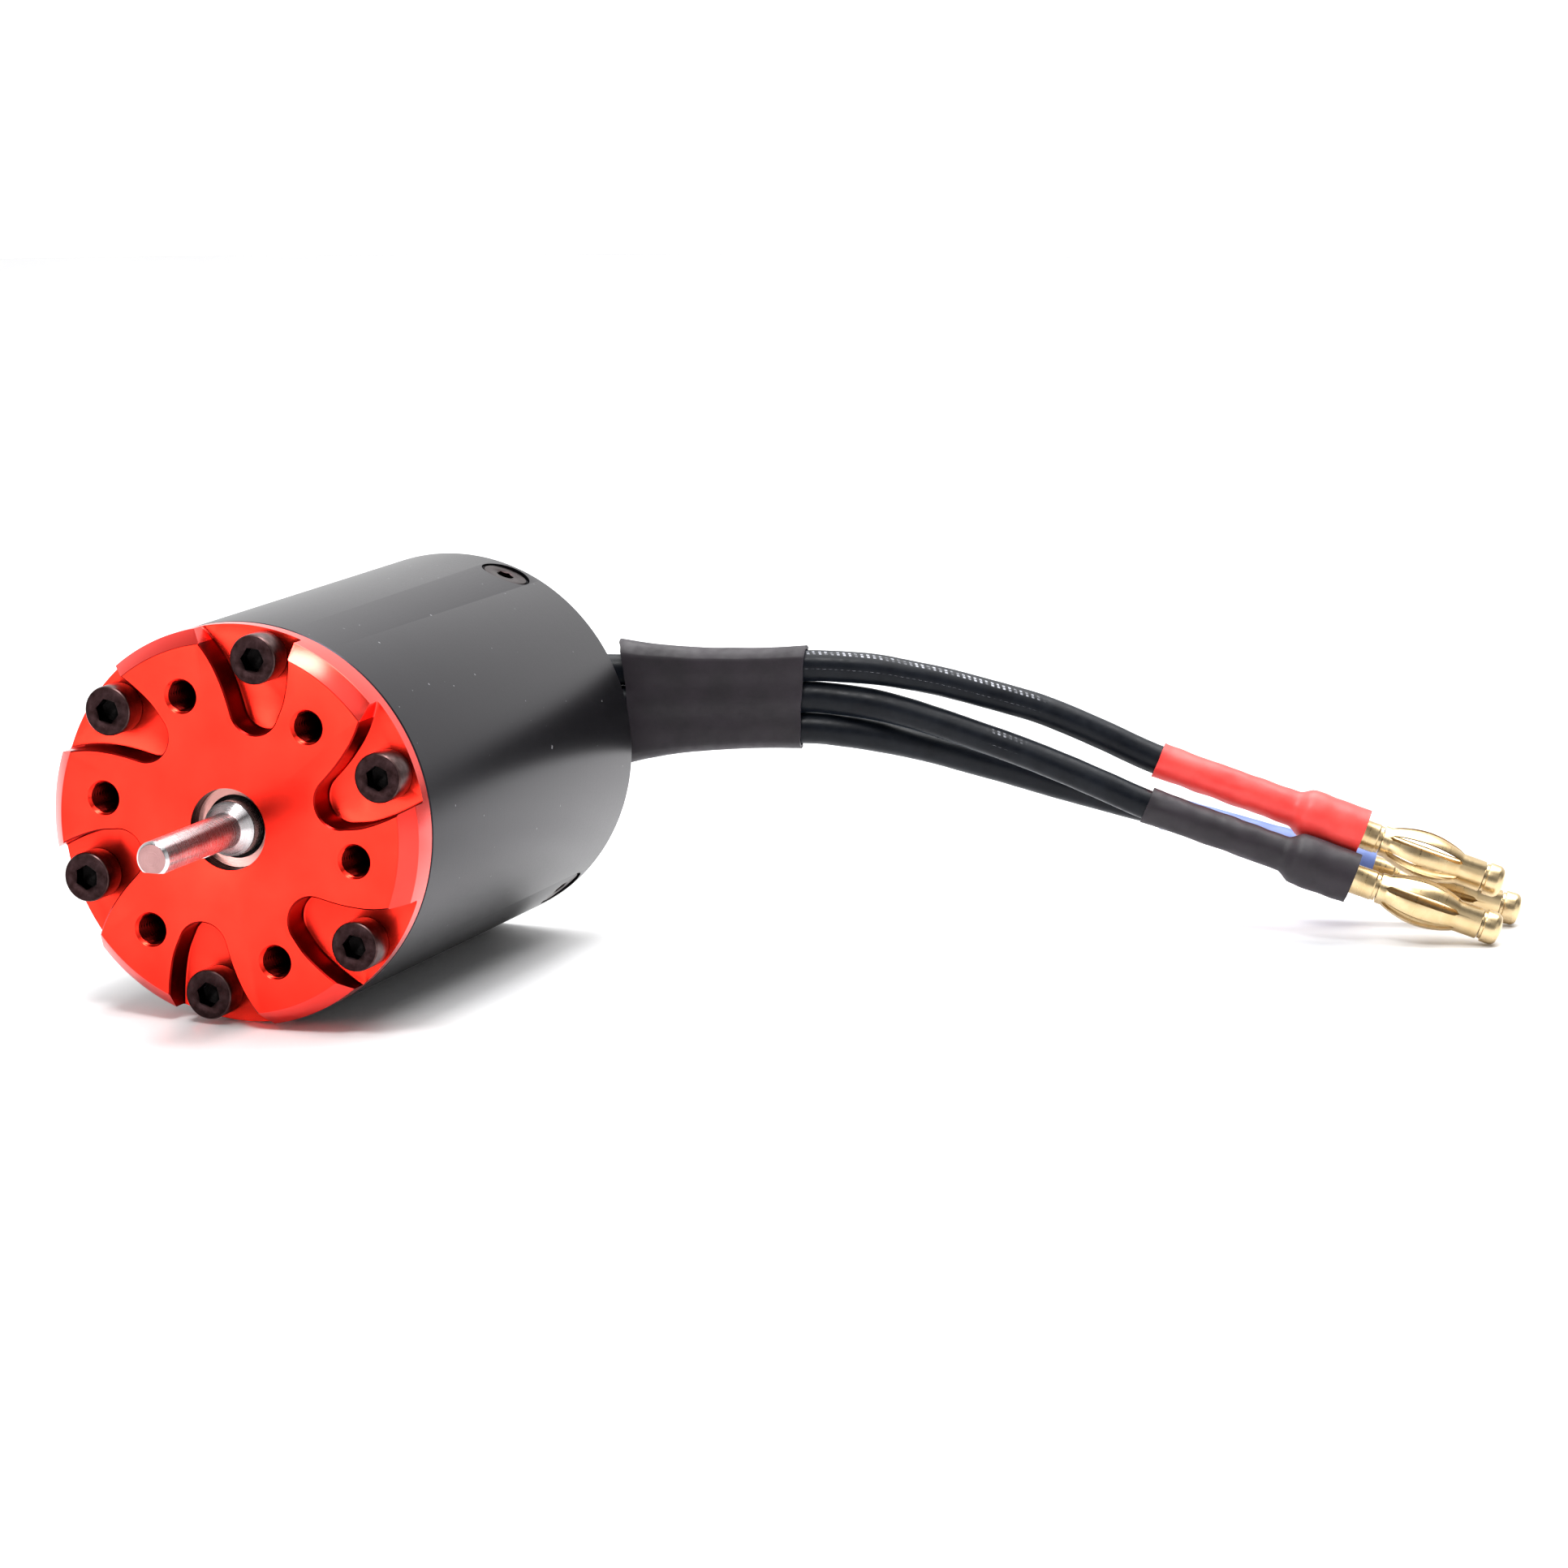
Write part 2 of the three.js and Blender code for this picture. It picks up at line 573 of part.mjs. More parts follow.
// A flat heat-shrink tube over the three leads, waisted in the middle and flared at both ends.
function mainSleeve() {
  const start = new THREE.Vector3(...MAIN_SLEEVE.start);
  const axis = new THREE.Vector3(...MAIN_SLEEVE.end).sub(start);
  const length = axis.length();
  const shape = stadium(1.98, 5.05);
  shape.holes.push(stadium(1.65, 4.72));
  const options = { depth: length, steps: 4, bevelEnabled: false, curveSegments: 5 };
  const geometry = new THREE.ExtrudeGeometry(shape, options);
  const points = geometry.attributes.position;
  for (let i = 0; i < points.count; i++) {
    const fromMiddle = points.getZ(i) / length - 0.55;
    const flare = 1 + 0.4 * fromMiddle ** 2;
    points.setX(i, points.getX(i) * flare);
    points.setY(i, points.getY(i) * flare);
  }
  geometry.applyMatrix4(new THREE.Matrix4().makeBasis(
    new THREE.Vector3(axis.y, -axis.x, 0).normalize(),
    new THREE.Vector3(0, 0, 1),
    axis.clone().normalize(),
  ));
  geometry.translate(...start);
  return outward(geometry);
}

// Heat-shrink over one lead's end and, wider, over the plug's solder cup.
function plugSleeve({ cupSleeveR }) {
  const boreR = cupSleeveR - 0.26;
  return turned([
    [1.56, 0], [1.8, 0], [1.8, 14.1], [cupSleeveR, 15.3], [cupSleeveR, SLEEVE_LENGTH],
    [boreR, SLEEVE_LENGTH], [boreR, 15.1], [1.56, 14.3],
  ], 14);
}

// Solder cup, collar, core and tip cap of a bullet plug, turned from one bar.
function bulletPin() {
  return turned([
    [0, 14.9], [1.78, 14.9], [1.78, 20.4], [1.45, 20.7], [1.45, 23.3], [0.85, 23.3], [0.85, 33.7],
    [1.45, 33.7], [1.55, 33.9], [1.55, 35.1], [1, 35.6], [0, 35.6],
  ], 14);
}

// The sprung lantern cage round a bullet's core: two rings joined by six bowed slats.
function bulletCage() {
  const ends = { from: 23.4, to: 33.6 };
  const bow = { from: 24.2, to: 31.2, ringR: 1.5, bulgeR: 2.28, wall: 0.35 };
  const stations = 4;
  const outer = [];
  for (let i = 0; i <= stations; i++) {
    const y = bow.from + ((bow.to - bow.from) * i) / stations;
    outer.push([bow.ringR + (bow.bulgeR - bow.ringR) * Math.sin((Math.PI * i) / stations), y]);
  }
  const inner = outer.map(([r, y]) => [r - bow.wall, y]).reverse();
  const shell = turned([
    [bow.ringR, ends.from], ...outer, [bow.ringR, ends.to], [bow.ringR - bow.wall, ends.to],
    ...inner, [bow.ringR - bow.wall, ends.from],
  ], 12);
  const slots = [0, 60, 120].map((angle) => {
    const slot = new THREE.BoxGeometry(8, bow.to - bow.from - 0.4, 0.8);
    slot.translate(0, (bow.from + bow.to) / 2, 0);
    return slot.rotateY(angle * DEG);
  });
  return cut(shell, ...slots);
}

piece('main_sleeve', mainSleeve(), shrinkBlack(), group);
PLUGS.forEach((plug, i) => {
  const { color, material } = plug;
  const assembly = new THREE.Group();
  assembly.position.copy(sleeveMouth(plug));
  assembly.quaternion.setFromUnitVectors(new THREE.Vector3(0, 1, 0), plugDirection(plug));
  group.add(assembly);
  piece(`lead_${color}`, lead(leadRoute(plug, 1 - i)), leadBlack(), group);
  piece(`plug_sleeve_${color}`, plugSleeve(plug), material(), assembly);
  piece(`bullet_pin_${color}`, bulletPin(), gold(), assembly);
  piece(`bullet_cage_${color}`, bulletCage(), gold(), assembly);
});

export default group;
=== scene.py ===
"""Looks for a brushless motor with three leads and bullet plugs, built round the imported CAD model.

Shapes are in millimetres until they become meshes. The motor's own frame has its origin at the centre of
the front face, with Y towards the rear and Z up. Leads and sleeves are placed in the CAD frame.
"""

import math

import bmesh
import bpy
from mathutils import Matrix, Vector, noise


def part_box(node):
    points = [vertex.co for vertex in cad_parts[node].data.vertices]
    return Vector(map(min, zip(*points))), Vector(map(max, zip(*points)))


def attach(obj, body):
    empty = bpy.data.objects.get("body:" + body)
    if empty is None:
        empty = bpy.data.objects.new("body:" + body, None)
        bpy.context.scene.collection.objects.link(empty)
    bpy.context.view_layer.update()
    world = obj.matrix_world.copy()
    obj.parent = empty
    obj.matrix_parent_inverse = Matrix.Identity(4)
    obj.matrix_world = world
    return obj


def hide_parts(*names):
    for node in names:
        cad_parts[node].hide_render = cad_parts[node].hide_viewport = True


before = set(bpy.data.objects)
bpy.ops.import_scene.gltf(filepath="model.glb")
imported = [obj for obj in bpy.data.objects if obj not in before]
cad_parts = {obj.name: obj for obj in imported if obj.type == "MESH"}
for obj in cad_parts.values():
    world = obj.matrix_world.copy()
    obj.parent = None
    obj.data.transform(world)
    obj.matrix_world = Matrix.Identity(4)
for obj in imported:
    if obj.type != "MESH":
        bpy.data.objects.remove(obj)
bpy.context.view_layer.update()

MM = 0.001
TAU = 2 * math.pi
rad = math.radians


def new_object(name, data):
    obj = bpy.data.objects.new(name, data)
    bpy.context.scene.collection.objects.link(obj)
    return obj


# ------------------------ places from the frame

PLATE_LOW, PLATE_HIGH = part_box("front_endbell")
CAN_LOW, CAN_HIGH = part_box("can")
SHAFT_LOW, SHAFT_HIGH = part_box("shaft")
FRONT_Y = PLATE_LOW.y
AXIS_Z = (CAN_LOW.z + CAN_HIGH.z) / 2
MOTOR = Matrix.Translation((0, FRONT_Y, AXIS_Z))

CAN_R = (CAN_HIGH.z - CAN_LOW.z) / 2 / MM
CAN_JOINT_Y = (CAN_LOW.y - FRONT_Y) / MM
BODY_LENGTH = (CAN_HIGH.y - FRONT_Y) / MM
SHAFT_REACH = (FRONT_Y - SHAFT_LOW.y) / MM
SHAFT_END_Y = (SHAFT_HIGH.y - FRONT_Y) / MM


def motor_place(node):
    """Middle of a CAD node in X and Z, then its front and rear in Y, in the motor's frame."""
    low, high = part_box(node)
    middle = (low + high) / 2
    return middle.x / MM, (middle.z - AXIS_Z) / MM, (low.y - FRONT_Y) / MM, (high.y - FRONT_Y) / MM


# ------------------------ camera

CAMERA_PLACE = (0.21736, -0.44078, 0.11159)
CAMERA_AZIMUTH, CAMERA_ELEVATION = rad(21.244), rad(10.709)

camera = new_object("camera", bpy.data.cameras.new("camera"))
bpy.context.scene.camera = camera
camera.data.lens = 125.05
camera.data.sensor_width = 36
camera.data.clip_start, camera.data.clip_end = 0.01, 20
camera.location = CAMERA_PLACE
towards_camera = Vector((
    math.sin(CAMERA_AZIMUTH) * math.cos(CAMERA_ELEVATION),
    -math.cos(CAMERA_AZIMUTH) * math.cos(CAMERA_ELEVATION),
    math.sin(CAMERA_ELEVATION),
))
camera.rotation_mode = "QUATERNION"
camera.rotation_quaternion = (-towards_camera).to_track_quat("-Z", "Y")

# ------------------------ material graphs

MIX_FACTOR, MIX_A, MIX_B, MIX_RESULT = 0, 6, 7, 2  # a Mix node's inputs and output when it mixes colours
MATERIALS = {}


def is_socket(value):
    return isinstance(value, bpy.types.NodeSocket)


class Graph:
    """A Principled material whose colour, roughness and bump come from procedural nodes."""

    def __init__(self, name, **constants):
        self.name = name
        self.material = bpy.data.materials.new(name)
        self.material.use_nodes = True
        self.nodes = self.material.node_tree.nodes
        self.links = self.material.node_tree.links
        self.shader = self.nodes["Principled BSDF"]
        for socket, value in constants.items():
            self.shader.inputs[socket.replace("_", " ")].default_value = value
        coordinates = self.node("TexCoord").outputs["Object"]
        self.place = self.vector("MULTIPLY", coordinates, (1 / MM,) * 3)  # millimetres
        if "Anisotropic" in constants:
            self.turn_tangent()

    def node(self, kind, sockets=None, **properties):
        made = self.nodes.new("ShaderNode" + kind)
        for key, value in properties.items():
            setattr(made, key, value)
        for key, value in (sockets or {}).items():
            if is_socket(value):
                self.links.new(value, made.inputs[key])
            else:
                made.inputs[key].default_value = value
        return made

    def vector(self, operation, a, b):
        return self.node("VectorMath", {0: a, 1: b}, operation=operation).outputs["Vector"]

    def maths(self, operation, a, b=0.0, c=None):
        sockets = {0: a, 1: b} if c is None else {0: a, 1: b, 2: c}
        return self.node("Math", sockets, operation=operation).outputs[0]

    def radius(self):
        """Distance from the object's own Y axis, in millimetres."""
        flat = self.vector("MULTIPLY", self.place, (1, 0, 1))
        return self.node("VectorMath", {0: flat}, operation="LENGTH").outputs["Value"]

    def along_axis(self):
        return self.node("SeparateXYZ", {0: self.place}).outputs["Y"]

    def attribute(self, name):
        return self.node("Attribute", attribute_name=name).outputs["Fac"]

    def grain(self, size, detail=3.0):
        """Noise with features of about this size in millimetres."""
        sockets = {"Vector": self.place, "Scale": 1 / size, "Detail": detail, "Roughness": 0.55}
        return self.node("TexNoise", sockets).outputs["Fac"]

    def lines(self, value, spacing, detail=2.0):
        """Irregular lines that follow a value in millimetres, as a cutting tool leaves."""
        sockets = {"W": value, "Scale": 1 / spacing, "Detail": detail, "Roughness": 0.6}
        return self.node("TexNoise", sockets, noise_dimensions="1D").outputs["Fac"]

    def remap(self, value, low, high, start=0.35, end=0.65):
        """Stretches a part of a value, by default the middle of a noise, to low and high."""
        sockets = {"Value": value, "From Min": start, "From Max": end, "To Min": low, "To Max": high}
        return self.node("MapRange", sockets).outputs["Result"]

    def blend(self, factor, a, b):
        """From colour a to colour b, each a socket or three numbers."""
        colors = {key: c if is_socket(c) else (*c, 1) for key, c in ((MIX_A, a), (MIX_B, b))}
        return self.node("Mix", {MIX_FACTOR: factor, **colors}, data_type="RGBA").outputs[MIX_RESULT]

    def bump(self, height, microns, before=None):
        """Adds relief of this height to the surface."""
        sockets = {"Height": height, "Distance": microns * 1e-6, "Strength": 1.0}
        if before is not None:
            sockets["Normal"] = before
        return self.node("Bump", sockets).outputs["Normal"]

    def turn_tangent(self):
        """Stretches the gloss across tool lines that run round the Y axis."""
        tangent = self.node("Tangent", direction_type="RADIAL", axis="Y").outputs[0]
        self.links.new(tangent, self.shader.inputs["Tangent"])

    def finish(self, color, roughness, normal):
        for socket, value in (("Base Color", color), ("Roughness", roughness), ("Normal", normal)):
            self.links.new(value, self.shader.inputs[socket])
        MATERIALS[self.name] = self.material


def turned_metal(name, dark, light, rough, spacing=0.12, microns=1.5, axial=False, **constants):
    """Metal with fine tool lines round the Y axis, faint stains and a change of gloss between them."""
    g = Graph(name, Metallic=1.0, **constants)
    lines = g.lines(g.along_axis() if axial else g.radius(), spacing)
    stains = g.grain(2.5, 4)
    fine = g.grain(0.09, 2)
    color = g.blend(g.remap(stains, 0, 1), dark, light)
    gloss = g.remap(g.maths("MULTIPLY_ADD", lines, 0.6, g.maths("MULTIPLY", fine, 0.4)), *rough)
    normal = g.bump(fine, microns * 0.5, g.bump(lines, microns))
    g.finish(color, gloss, normal)


def moulded(name, dark, light, rough=(0.45, 0.65), size=0.25, microns=6, **constants):
    """Rubber, plastic or heat-shrink: mottled colour over a fine pebbled surface."""
    g = Graph(name, **constants)
    color = g.blend(g.remap(g.grain(3.5, 4), 0, 1), dark, light)
    pebbles = g.grain(size, 4)
    gloss = g.remap(g.grain(1.1, 3), *rough)
    normal = g.bump(g.grain(2.2, 2), microns * 2.5, g.bump(pebbles, microns))
    g.finish(color, gloss, normal)


def red_anodised(name, dark=(0.92, 0.024, 0.013), light=(0.98, 0.034, 0.019), line_microns=0.25,
                 **constants):
    """Dyed anodised aluminium over a turned face: satin, with a fine blasted grain."""
    g = Graph(name, Metallic=1.0, **constants)
    lines = g.lines(g.radius(), 0.16, 3)
    blasted = g.grain(0.07, 2)
    cloud = g.remap(g.grain(6, 3), 0, 1, 0.3, 0.7)
    color = g.blend(cloud, dark, light)
    gloss = g.remap(g.maths("MULTIPLY_ADD", lines, 0.4, g.maths("MULTIPLY", blasted, 0.6)), 0.22, 0.27)
    normal = g.bump(blasted, 0.8, g.bump(lines, line_microns))
    g.finish(color, gloss, normal)


def black_anodised():
    """Satin black can: fine drawn lines round it, faint cloudiness and a few specks of dust."""
    g = Graph("black_anodised", Metallic=0.0, IOR=1.345, Specular_Tint=(0.93, 0.84, 1.0, 1))
    lines = g.lines(g.along_axis(), 0.22, 3)
    fine = g.grain(0.1, 2)
    cloud = g.remap(g.grain(9, 3), 0, 1, 0.3, 0.7)
    dust = g.remap(g.grain(0.5, 0), 0, 1, 0.862, 0.88)
    color = g.blend(cloud, (0.0016, 0.0017, 0.0022), (0.0032, 0.0032, 0.0040))
    color = g.blend(dust, color, (0.16, 0.16, 0.17))
    gloss = g.remap(g.maths("MULTIPLY_ADD", lines, 0.35, g.maths("MULTIPLY", fine, 0.65)), 0.28, 0.32)
    normal = g.bump(fine, 0.5, g.bump(lines, 0.07))
    g.finish(color, gloss, normal)


def black_oxide(name, dark, light):
    """Oiled black oxide on steel: brown-black, in faint patches."""
    g = Graph(name, Metallic=1.0)
    patches = g.remap(g.grain(0.7, 4), 0, 1)
    fine = g.grain(0.06, 3)
    lines = g.lines(g.radius(), 0.11)
    color = g.blend(patches, dark, light)
    gloss = g.remap(fine, 0.28, 0.42)
    normal = g.bump(fine, 2.0, g.bump(lines, 1.5))
    g.finish(color, gloss, normal)


def copper_winding():
    """Enamelled wire in rows, seen on the outside of a coil."""
    g = Graph("enamelled_copper", Metallic=0.9, Coat_Weight=0.5, Coat_Roughness=0.15)
    wires = g.node("TexWave", {"Vector": g.place, "Scale": 0.55, "Distortion": 1.2, "Detail": 2.0},
                   wave_type="BANDS", bands_direction="X").outputs["Fac"]
    color = g.blend(wires, (0.20, 0.045, 0.012), (0.62, 0.20, 0.06))
    gloss = g.remap(g.grain(0.4), 0.2, 0.4)
    g.finish(color, gloss, g.bump(wires, 60))


def laminations():
    """The cut edges of a stack of electrical steel sheets."""
    sheet = 0.35
    g = Graph("lamination_steel", Metallic=0.85)
    sheets = g.maths("PINGPONG", g.along_axis(), sheet / 2)
    seams = g.remap(sheets, 0, 1, 0.0, 0.05)
    color = g.blend(seams, (0.04, 0.042, 0.05), (0.20, 0.21, 0.23))
    color = g.blend(g.remap(g.grain(1.5, 4), 0, 0.4), color, (0.12, 0.09, 0.07))
    g.finish(color, g.remap(g.grain(0.2), 0.35, 0.6), g.bump(seams, 12))


def lead_rubber():
    """Black silicone insulation with rows of small pale printed dots where the lead carries a print."""
    g = Graph("black_lead", Specular_IOR_Level=0.15, Sheen_Weight=0.08, Sheen_Roughness=0.35,
              Sheen_Tint=(0.45, 0.65, 0.95, 1))
    along, around, printed = g.attribute("along"), g.attribute("around"), g.attribute("printed")
    first_turn, drift_per_mm, slant = 1.48, -0.012, 0.55
    dot_spacing, row_spacing, band_half = 0.57, 0.10, 0.20
    # The rows drift slowly round the lead, and the dots' edges wander as worn ink does.
    drift = g.maths("SUBTRACT", around, g.maths("MULTIPLY_ADD", along, drift_per_mm, first_turn))
    wander = g.maths("MULTIPLY_ADD", g.lines(along, 0.5, 2), 0.10, -0.05)
    slanted = g.maths("MULTIPLY_ADD", drift, slant, along)
    gap = g.maths("PINGPONG", slanted, dot_spacing / 2)
    dot = g.remap(g.maths("ADD", gap, wander), 0, 1, 0.13, 0.19)
    across = g.maths("PINGPONG", g.maths("ADD", drift, row_spacing), row_spacing)
    row = g.remap(across, 1, 0, 0.055, 0.085)
    band = g.maths("LESS_THAN", g.maths("ABSOLUTE", drift), band_half)
    worn = g.maths("MULTIPLY", printed, g.remap(g.grain(0.8, 2), 0.15, 1, 0.38, 0.60))
    ink = g.maths("MULTIPLY", g.maths("MULTIPLY", dot, row), g.maths("MULTIPLY", band, worn))
    body = g.blend(g.remap(g.grain(2.5, 3), 0, 1), (0.0025, 0.0035, 0.006), (0.006, 0.0075, 0.011))
    color = g.blend(ink, body, (0.42, 0.43, 0.48))
    gloss = g.remap(g.grain(0.7, 3), 0.34, 0.45)
    normal = g.bump(g.grain(0.12, 2), 2.0, g.bump(g.grain(1.6, 2), 14))
    g.finish(color, gloss, normal)


red_anodised("red_anodised")
red_anodised("red_anodised_turned", line_microns=1.6, Anisotropic=0.6, Anisotropic_Rotation=0.25,
             Coat_Weight=0.6, Coat_Roughness=0.2)
# Dark red for the pockets' side walls: painted shade.
red_anodised("red_anodised_painted_shade", (0.20, 0.004, 0.003), (0.32, 0.007, 0.005))
# Near-black red for the tapped holes deeper than their mouths: painted shade.
red_anodised("red_anodised_painted_hole_shade", (0.040, 0.0015, 0.0012), (0.075, 0.0025, 0.0020))
# Bare aluminium with a pink base colour: a painted reflection of the red face around it.
turned_metal("bare_aluminium_painted_reflection", (0.36, 0.175, 0.155), (0.46, 0.235, 0.215), (0.14, 0.24))
# Dark brown on the walls inside the nose bore: painted shade.
turned_metal("bore_wall_painted_shade", (0.05, 0.030, 0.028), (0.10, 0.060, 0.055), (0.2, 0.3), axial=True)
black_anodised()
black_oxide("black_oxide_steel", (0.013, 0.006, 0.006), (0.030, 0.016, 0.017))
# A lighter copy for the screw heads' sides: a painted sheen.
black_oxide("painted_sheen_oxide_steel", (0.050, 0.026, 0.025), (0.105, 0.062, 0.060))
turned_metal("polished_steel", (0.55, 0.52, 0.53), (0.70, 0.67, 0.68), (0.20, 0.34), axial=True, spacing=0.1,
             microns=0.8, Anisotropic=0.85, Anisotropic_Rotation=0.25)
# Darker pink steel for the shaft tip's end face: a painted reflection of the red face.
turned_metal("steel_tip_painted_reflection", (0.27, 0.150, 0.146), (0.35, 0.20, 0.195), (0.25, 0.42), microns=2.5)
turned_metal("bearing_steel", (0.50, 0.51, 0.53), (0.66, 0.67, 0.69), (0.14, 0.26))
# Near-black steel for the screws' sockets and the front bearing's inner ring: painted shade in recesses.
turned_metal("painted_shade_steel", (0.0022, 0.0020, 0.0020), (0.006, 0.0052, 0.0052), (0.25, 0.4))
laminations()
copper_winding()
turned_metal("nickel_magnet", (0.42, 0.41, 0.39), (0.55, 0.54, 0.51), (0.22, 0.36))
moulded("white_insulator", (0.66, 0.62, 0.52), (0.78, 0.75, 0.66))
turned_metal("brass", (0.48, 0.30, 0.09), (0.66, 0.45, 0.16), (0.18, 0.34), spacing=0.2)
turned_metal("gold_plate", (0.58, 0.42, 0.215), (0.70, 0.54, 0.315), (0.27, 0.35), axial=True, spacing=0.3,
             microns=0.12)
moulded("black_rubber", (0.010, 0.010, 0.011), (0.020, 0.020, 0.021), (0.55, 0.75))
lead_rubber()
moulded("black_shrink", (0.010, 0.007, 0.010), (0.016, 0.011, 0.016), (0.48, 0.60), size=0.18, microns=4.5,
        Specular_IOR_Level=0.36, Sheen_Weight=0.07, Sheen_Roughness=0.5, Sheen_Tint=(0.85, 0.78, 0.95, 1))
moulded("red_shrink", (0.86, 0.035, 0.030), (0.98, 0.062, 0.052), (0.40, 0.52), size=0.2, microns=3,
        Sheen_Weight=0.1, Sheen_Roughness=0.4, Sheen_Tint=(1, 0.7, 0.68, 1), Subsurface_Weight=0.15,
        Subsurface_Scale=0.0006)
moulded("blue_shrink", (0.075, 0.14, 0.40), (0.12, 0.20, 0.52), (0.36, 0.48), size=0.2, microns=3,
        Sheen_Weight=0.4, Sheen_Roughness=0.4, Sheen_Tint=(0.8, 0.88, 1, 1))

# ------------------------ meshes


def lathe(outline, segments):
    """A closed (radius, y) outline turned about the Y axis."""
    bm = bmesh.new()
    rings = []
    for r, y in outline:
        count = segments if r > 1e-6 else 1
        turns = [TAU * i / segments for i in range(count)]
        rings.append([bm.verts.new((r * math.cos(t), y, r * math.sin(t))) for t in turns])
    for a, b in zip(rings, rings[1:] + rings[:1]):
        if len(a) == 1 and len(b) == 1:
            continue
        for i in range(segments):
            j = (i + 1) % segments
            corners = dict.fromkeys([a[i % len(a)], a[j % len(a)], b[j % len(b)], b[i % len(b)]])
            bm.faces.new(list(corners))
    bmesh.ops.recalc_face_normals(bm, faces=bm.faces)
    return bm


def soften(outline):
    """Rounds the corners of an outline that carry a third number, the length taken off each side."""
    steps = 3
    points = []
    for i, corner in enumerate(outline):
        p = Vector(corner[:2])
        if len(corner) < 3:
            points.append(tuple(p))
            continue
        before = Vector(outline[i - 1][:2])
        after = Vector(outline[(i + 1) % len(outline)][:2])
        start = p + (before - p).normalized() * corner[2]
        end = p + (after - p).normalized() * corner[2]
        for step in range(steps + 1):
            t = step / steps
            points.append(tuple(start * (1 - t) ** 2 + p * 2 * t * (1 - t) + end * t * t))
    return points


def loft(loops, caps=True):
    """Joins loops of points into a skin, and closes it with end faces or by joining the last to the first."""
    bm = bmesh.new()
    rings = [[bm.verts.new(p) for p in loop] for loop in loops]
    count = len(rings[0])
    for a, b in zip(rings, rings[1:] if caps else rings[1:] + rings[:1]):
        for i in range(count):
            j = (i + 1) % count
            bm.faces.new((a[i], a[j], b[j], b[i]))
    if caps:
        bm.faces.new(rings[0])
        bm.faces.new(rings[-1])
    bmesh.ops.recalc_face_normals(bm, faces=bm.faces)
    return bm


def moved(bm, matrix):
    bmesh.ops.transform(bm, matrix=matrix, verts=bm.verts)
    return bm


def gathered(parts):
    """Several separate bmeshes as one."""
    whole = bmesh.new()
    for part in parts:
        mesh = bpy.data.meshes.new("part")
        part.to_mesh(mesh)
        part.free()
        whole.from_mesh(mesh)
        bpy.data.meshes.remove(mesh)
    return whole


def carve(body, *cutters):
    """A bmesh less each cutter, as a new bmesh."""
    objects = []
    for bm in (body, *cutters):
        mesh = bpy.data.meshes.new("carving")
        bm.to_mesh(mesh)
        bm.free()
        objects.append(new_object("carving", mesh))
    target = objects[0]
    for tool in objects[1:]:
        modifier = target.modifiers.new("carve", "BOOLEAN")
        modifier.operation, modifier.solver, modifier.object = "DIFFERENCE", "EXACT", tool
    depsgraph = bpy.context.evaluated_depsgraph_get()
    result = bmesh.new()
    result.from_mesh(target.evaluated_get(depsgraph).to_mesh())
    for obj in objects:
        mesh = obj.data
        bpy.data.objects.remove(obj)
        bpy.data.meshes.remove(mesh)
    return result


def mesh_from(bm, name, materials, sharp=32, paint=None):
    """A bmesh as a mesh in metres. paint(face's centre in mm, its normal) numbers its material."""
    if paint:
        for face in bm.faces:
            face.material_index = paint(face.calc_center_median(), face.normal)
    moved(bm, Matrix.Scale(MM, 4))
    mesh = bpy.data.meshes.new(name)
    bm.to_mesh(mesh)
    bm.free()
    for material in materials:
        mesh.materials.append(MATERIALS[material])
    mesh.shade_smooth()
    mesh.set_sharp_from_angle(angle=rad(sharp))
    return mesh


def piece(name, mesh, body, place, replaces):
    obj = new_object(name, mesh)
    obj.matrix_world = place
    bpy.context.view_layer.update()
    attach(obj, body)
    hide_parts(*replaces)
    return obj


def catmull(points, per_span=12):
    """A smooth line through all the points (centripetal Catmull-Rom)."""
    points = [Vector(p) for p in points]
    ends = [points[0] * 2 - points[1]] + points + [points[-1] * 2 - points[-2]]
    line = []
    for p0, p1, p2, p3 in zip(ends, ends[1:], ends[2:], ends[3:]):
        d0, d1, d2 = ((b - a).length ** 0.5 for a, b in ((p0, p1), (p1, p2), (p2, p3)))
        m1 = ((p1 - p0) / d0 - (p2 - p0) / (d0 + d1) + (p2 - p1) / d1) * d1
        m2 = ((p2 - p1) / d1 - (p3 - p1) / (d1 + d2) + (p3 - p2) / d2) * d1
        for i in range(per_span):
            t = i / per_span
            line.append(p1 * (2 * t**3 - 3 * t**2 + 1) + m1 * (t**3 - 2 * t**2 + t)
                        + p2 * (3 * t**2 - 2 * t**3) + m2 * (t**3 - t**2))
    line.append(points[-1].copy())
    return line


def line_length(line):
    return sum((b - a).length for a, b in zip(line, line[1:]))


def evenly(line, spacing):
    """The same line with points at equal distances."""
    total = line_length(line)
    count = max(2, round(total / spacing))
    points, walked, i = [line[0].copy()], 0.0, 0
    for k in range(1, count):
        goal = total * k / count
        while walked + (line[i + 1] - line[i]).length < goal:
            walked += (line[i + 1] - line[i]).length
            i += 1
        step = (line[i + 1] - line[i]).length
        points.append(line[i].lerp(line[i + 1], (goal - walked) / step))
    points.append(line[-1].copy())
    return points


# ------------------------ leads

LEAD_R = 1.42
LEAD_PITCH = 3.05  # between the leads, where they leave the motor one above another
LEAD_STEP = 0.4  # between a lead's sections
PLUG_HEADING = 14  # degrees from +X towards +Y
PLUG_SLEEVE_LENGTH = 20.8
LEAD_IN_SLEEVE = 14.5
TIP_STATION = 34.7  # from a plug sleeve's mouth to the point that "tip" places

